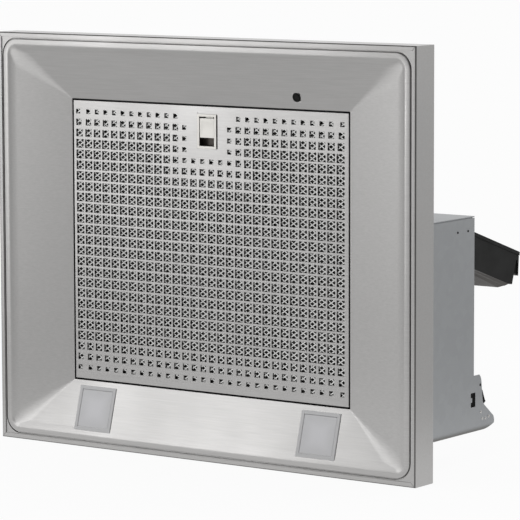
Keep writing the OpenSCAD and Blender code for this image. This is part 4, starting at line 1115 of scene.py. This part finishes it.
# Floor: a plain pale floor that stays close to white, in metal too, and keeps the hood's shadow. Its white is
# a glow, strongest in a painted pool of light round the hood.
floor_z = -frame_half_h
floor_glow = 0.14
floor_white = 0.8
floor, place = start_material("pale_floor")
mottle = add(floor, "TexNoise", {"Scale": 3, "Detail": 2}, {"Vector": place})
tone = add(
    floor, "Mix", {"A": linear("#F2F2F2"), "B": linear("#F6F6F6")}, {"Factor": mottle}, data_type="RGBA")
matt = add(floor, "BsdfDiffuse", links={"Color": tone})
white = add(floor, "Emission", {"Color": (1, 1, 1, 1), "Strength": 1})
# Only eyes, metal and glass see the white: the object itself is lit by the matt floor
ray = add(floor, "LightPath")
seen = add(
    floor, "Math", links={0: ray.outputs["Is Camera Ray"], 1: ray.outputs["Is Glossy Ray"]},
    operation="ADD")
seen = add(
    floor, "Math", links={0: seen, 1: ray.outputs["Is Transmission Ray"]}, operation="ADD", use_clamp=True)
pool = seen
# Each line fades the glowing white out on one side of the hood, between two distances in metres, which paints
# a pool of light round it
for direction, dim, bright in (
        ((-0.58, 0.81, 0), -0.85, -0.42), ((0.76, 0.65, 0), -0.6, -0.27), ((-0.86, -0.51, 0), -0.72, -0.33)):
    reach = add(floor, "VectorMath", {1: direction}, {0: place}, operation="DOT_PRODUCT")
    ramp = add(
        floor, "MapRange", {"From Min": dim, "From Max": bright}, {"Value": reach},
        interpolation_type="SMOOTHSTEP")
    pool = add(floor, "Math", links={0: pool, 1: ramp}, operation="MULTIPLY")
pool = add(floor, "Math", {1: floor_white}, {0: pool}, operation="MULTIPLY")
base = add(floor, "Math", {1: floor_glow}, {0: seen}, operation="MULTIPLY")
share = add(floor, "Math", links={0: pool, 1: base}, operation="ADD")
mixed = add(floor, "MixShader", links={"Fac": share, 1: matt, 2: white})
add(floor, "OutputMaterial", links={"Surface": mixed})
bm = bmesh.new()
bmesh.ops.create_grid(bm, x_segments=1, y_segments=1, size=20000)
bmesh.ops.translate(bm, vec=(0, 0, floor_z), verts=bm.verts)
make_piece("floor", bm, floor)

# Studio: a pale surround, white behind the hood and dimmer towards the front right
world = bpy.data.worlds.new("studio")
bpy.context.scene.world = world
world.use_nodes = True
world.node_tree.nodes.clear()
look = add(world, "TexCoord").outputs["Generated"]
behind = add(world, "VectorMath", {1: (0, 1, 0)}, {0: look}, operation="DOT_PRODUCT")
behind = add(
    world, "MapRange", {"From Min": 0.35, "From Max": 0.8, "To Min": 0.0, "To Max": 0.5},
    {"Value": behind}, interpolation_type="SMOOTHSTEP")
aside = add(world, "VectorMath", {1: (0.66, -0.75, 0)}, {0: look}, operation="DOT_PRODUCT")
aside = add(
    world, "MapRange", {"From Min": 0.2, "From Max": 0.9, "To Min": 0.62, "To Max": 0.18},
    {"Value": aside}, interpolation_type="SMOOTHSTEP")
level = add(world, "Math", links={0: behind, 1: aside}, operation="ADD")
air = add(world, "Background", {"Color": (1, 1, 1, 1)}, {"Strength": level})
add(world, "OutputWorld", links={"Surface": air})


def hang_softbox(name, place, width, height, power):
    """Hangs a softbox at a place in metres, aimed at the hood's middle and hidden from the camera."""
    light = bpy.data.lights.new(name, "AREA")
    light.shape = "RECTANGLE"
    light.size = width
    light.size_y = height
    light.energy = power
    softbox = bpy.data.objects.new(name, light)
    bpy.context.scene.collection.objects.link(softbox)
    softbox.matrix_world = Matrix.Translation(place) @ place.to_track_quat("Z", "Y").to_matrix().to_4x4()
    softbox.visible_camera = False


# Key light: a tall, narrow softbox at the front left, near enough for its light to fade across the hood
key_turn = math.radians(-38)
key_rise = math.radians(11)
key_distance = 1.7
hang_softbox("key_light", key_distance * towards(key_turn, key_rise), 0.5, 1.0, 3.3)

# Top light: a small softbox above the right front, which draws a fine glint on the rim's upper corner
top_distance = 2
hang_softbox("top_light", top_distance * Vector((0.34, -0.47, 0.79)), 0.45, 0.45, 2.4)

bpy.context.scene.view_settings.view_transform = "Standard"
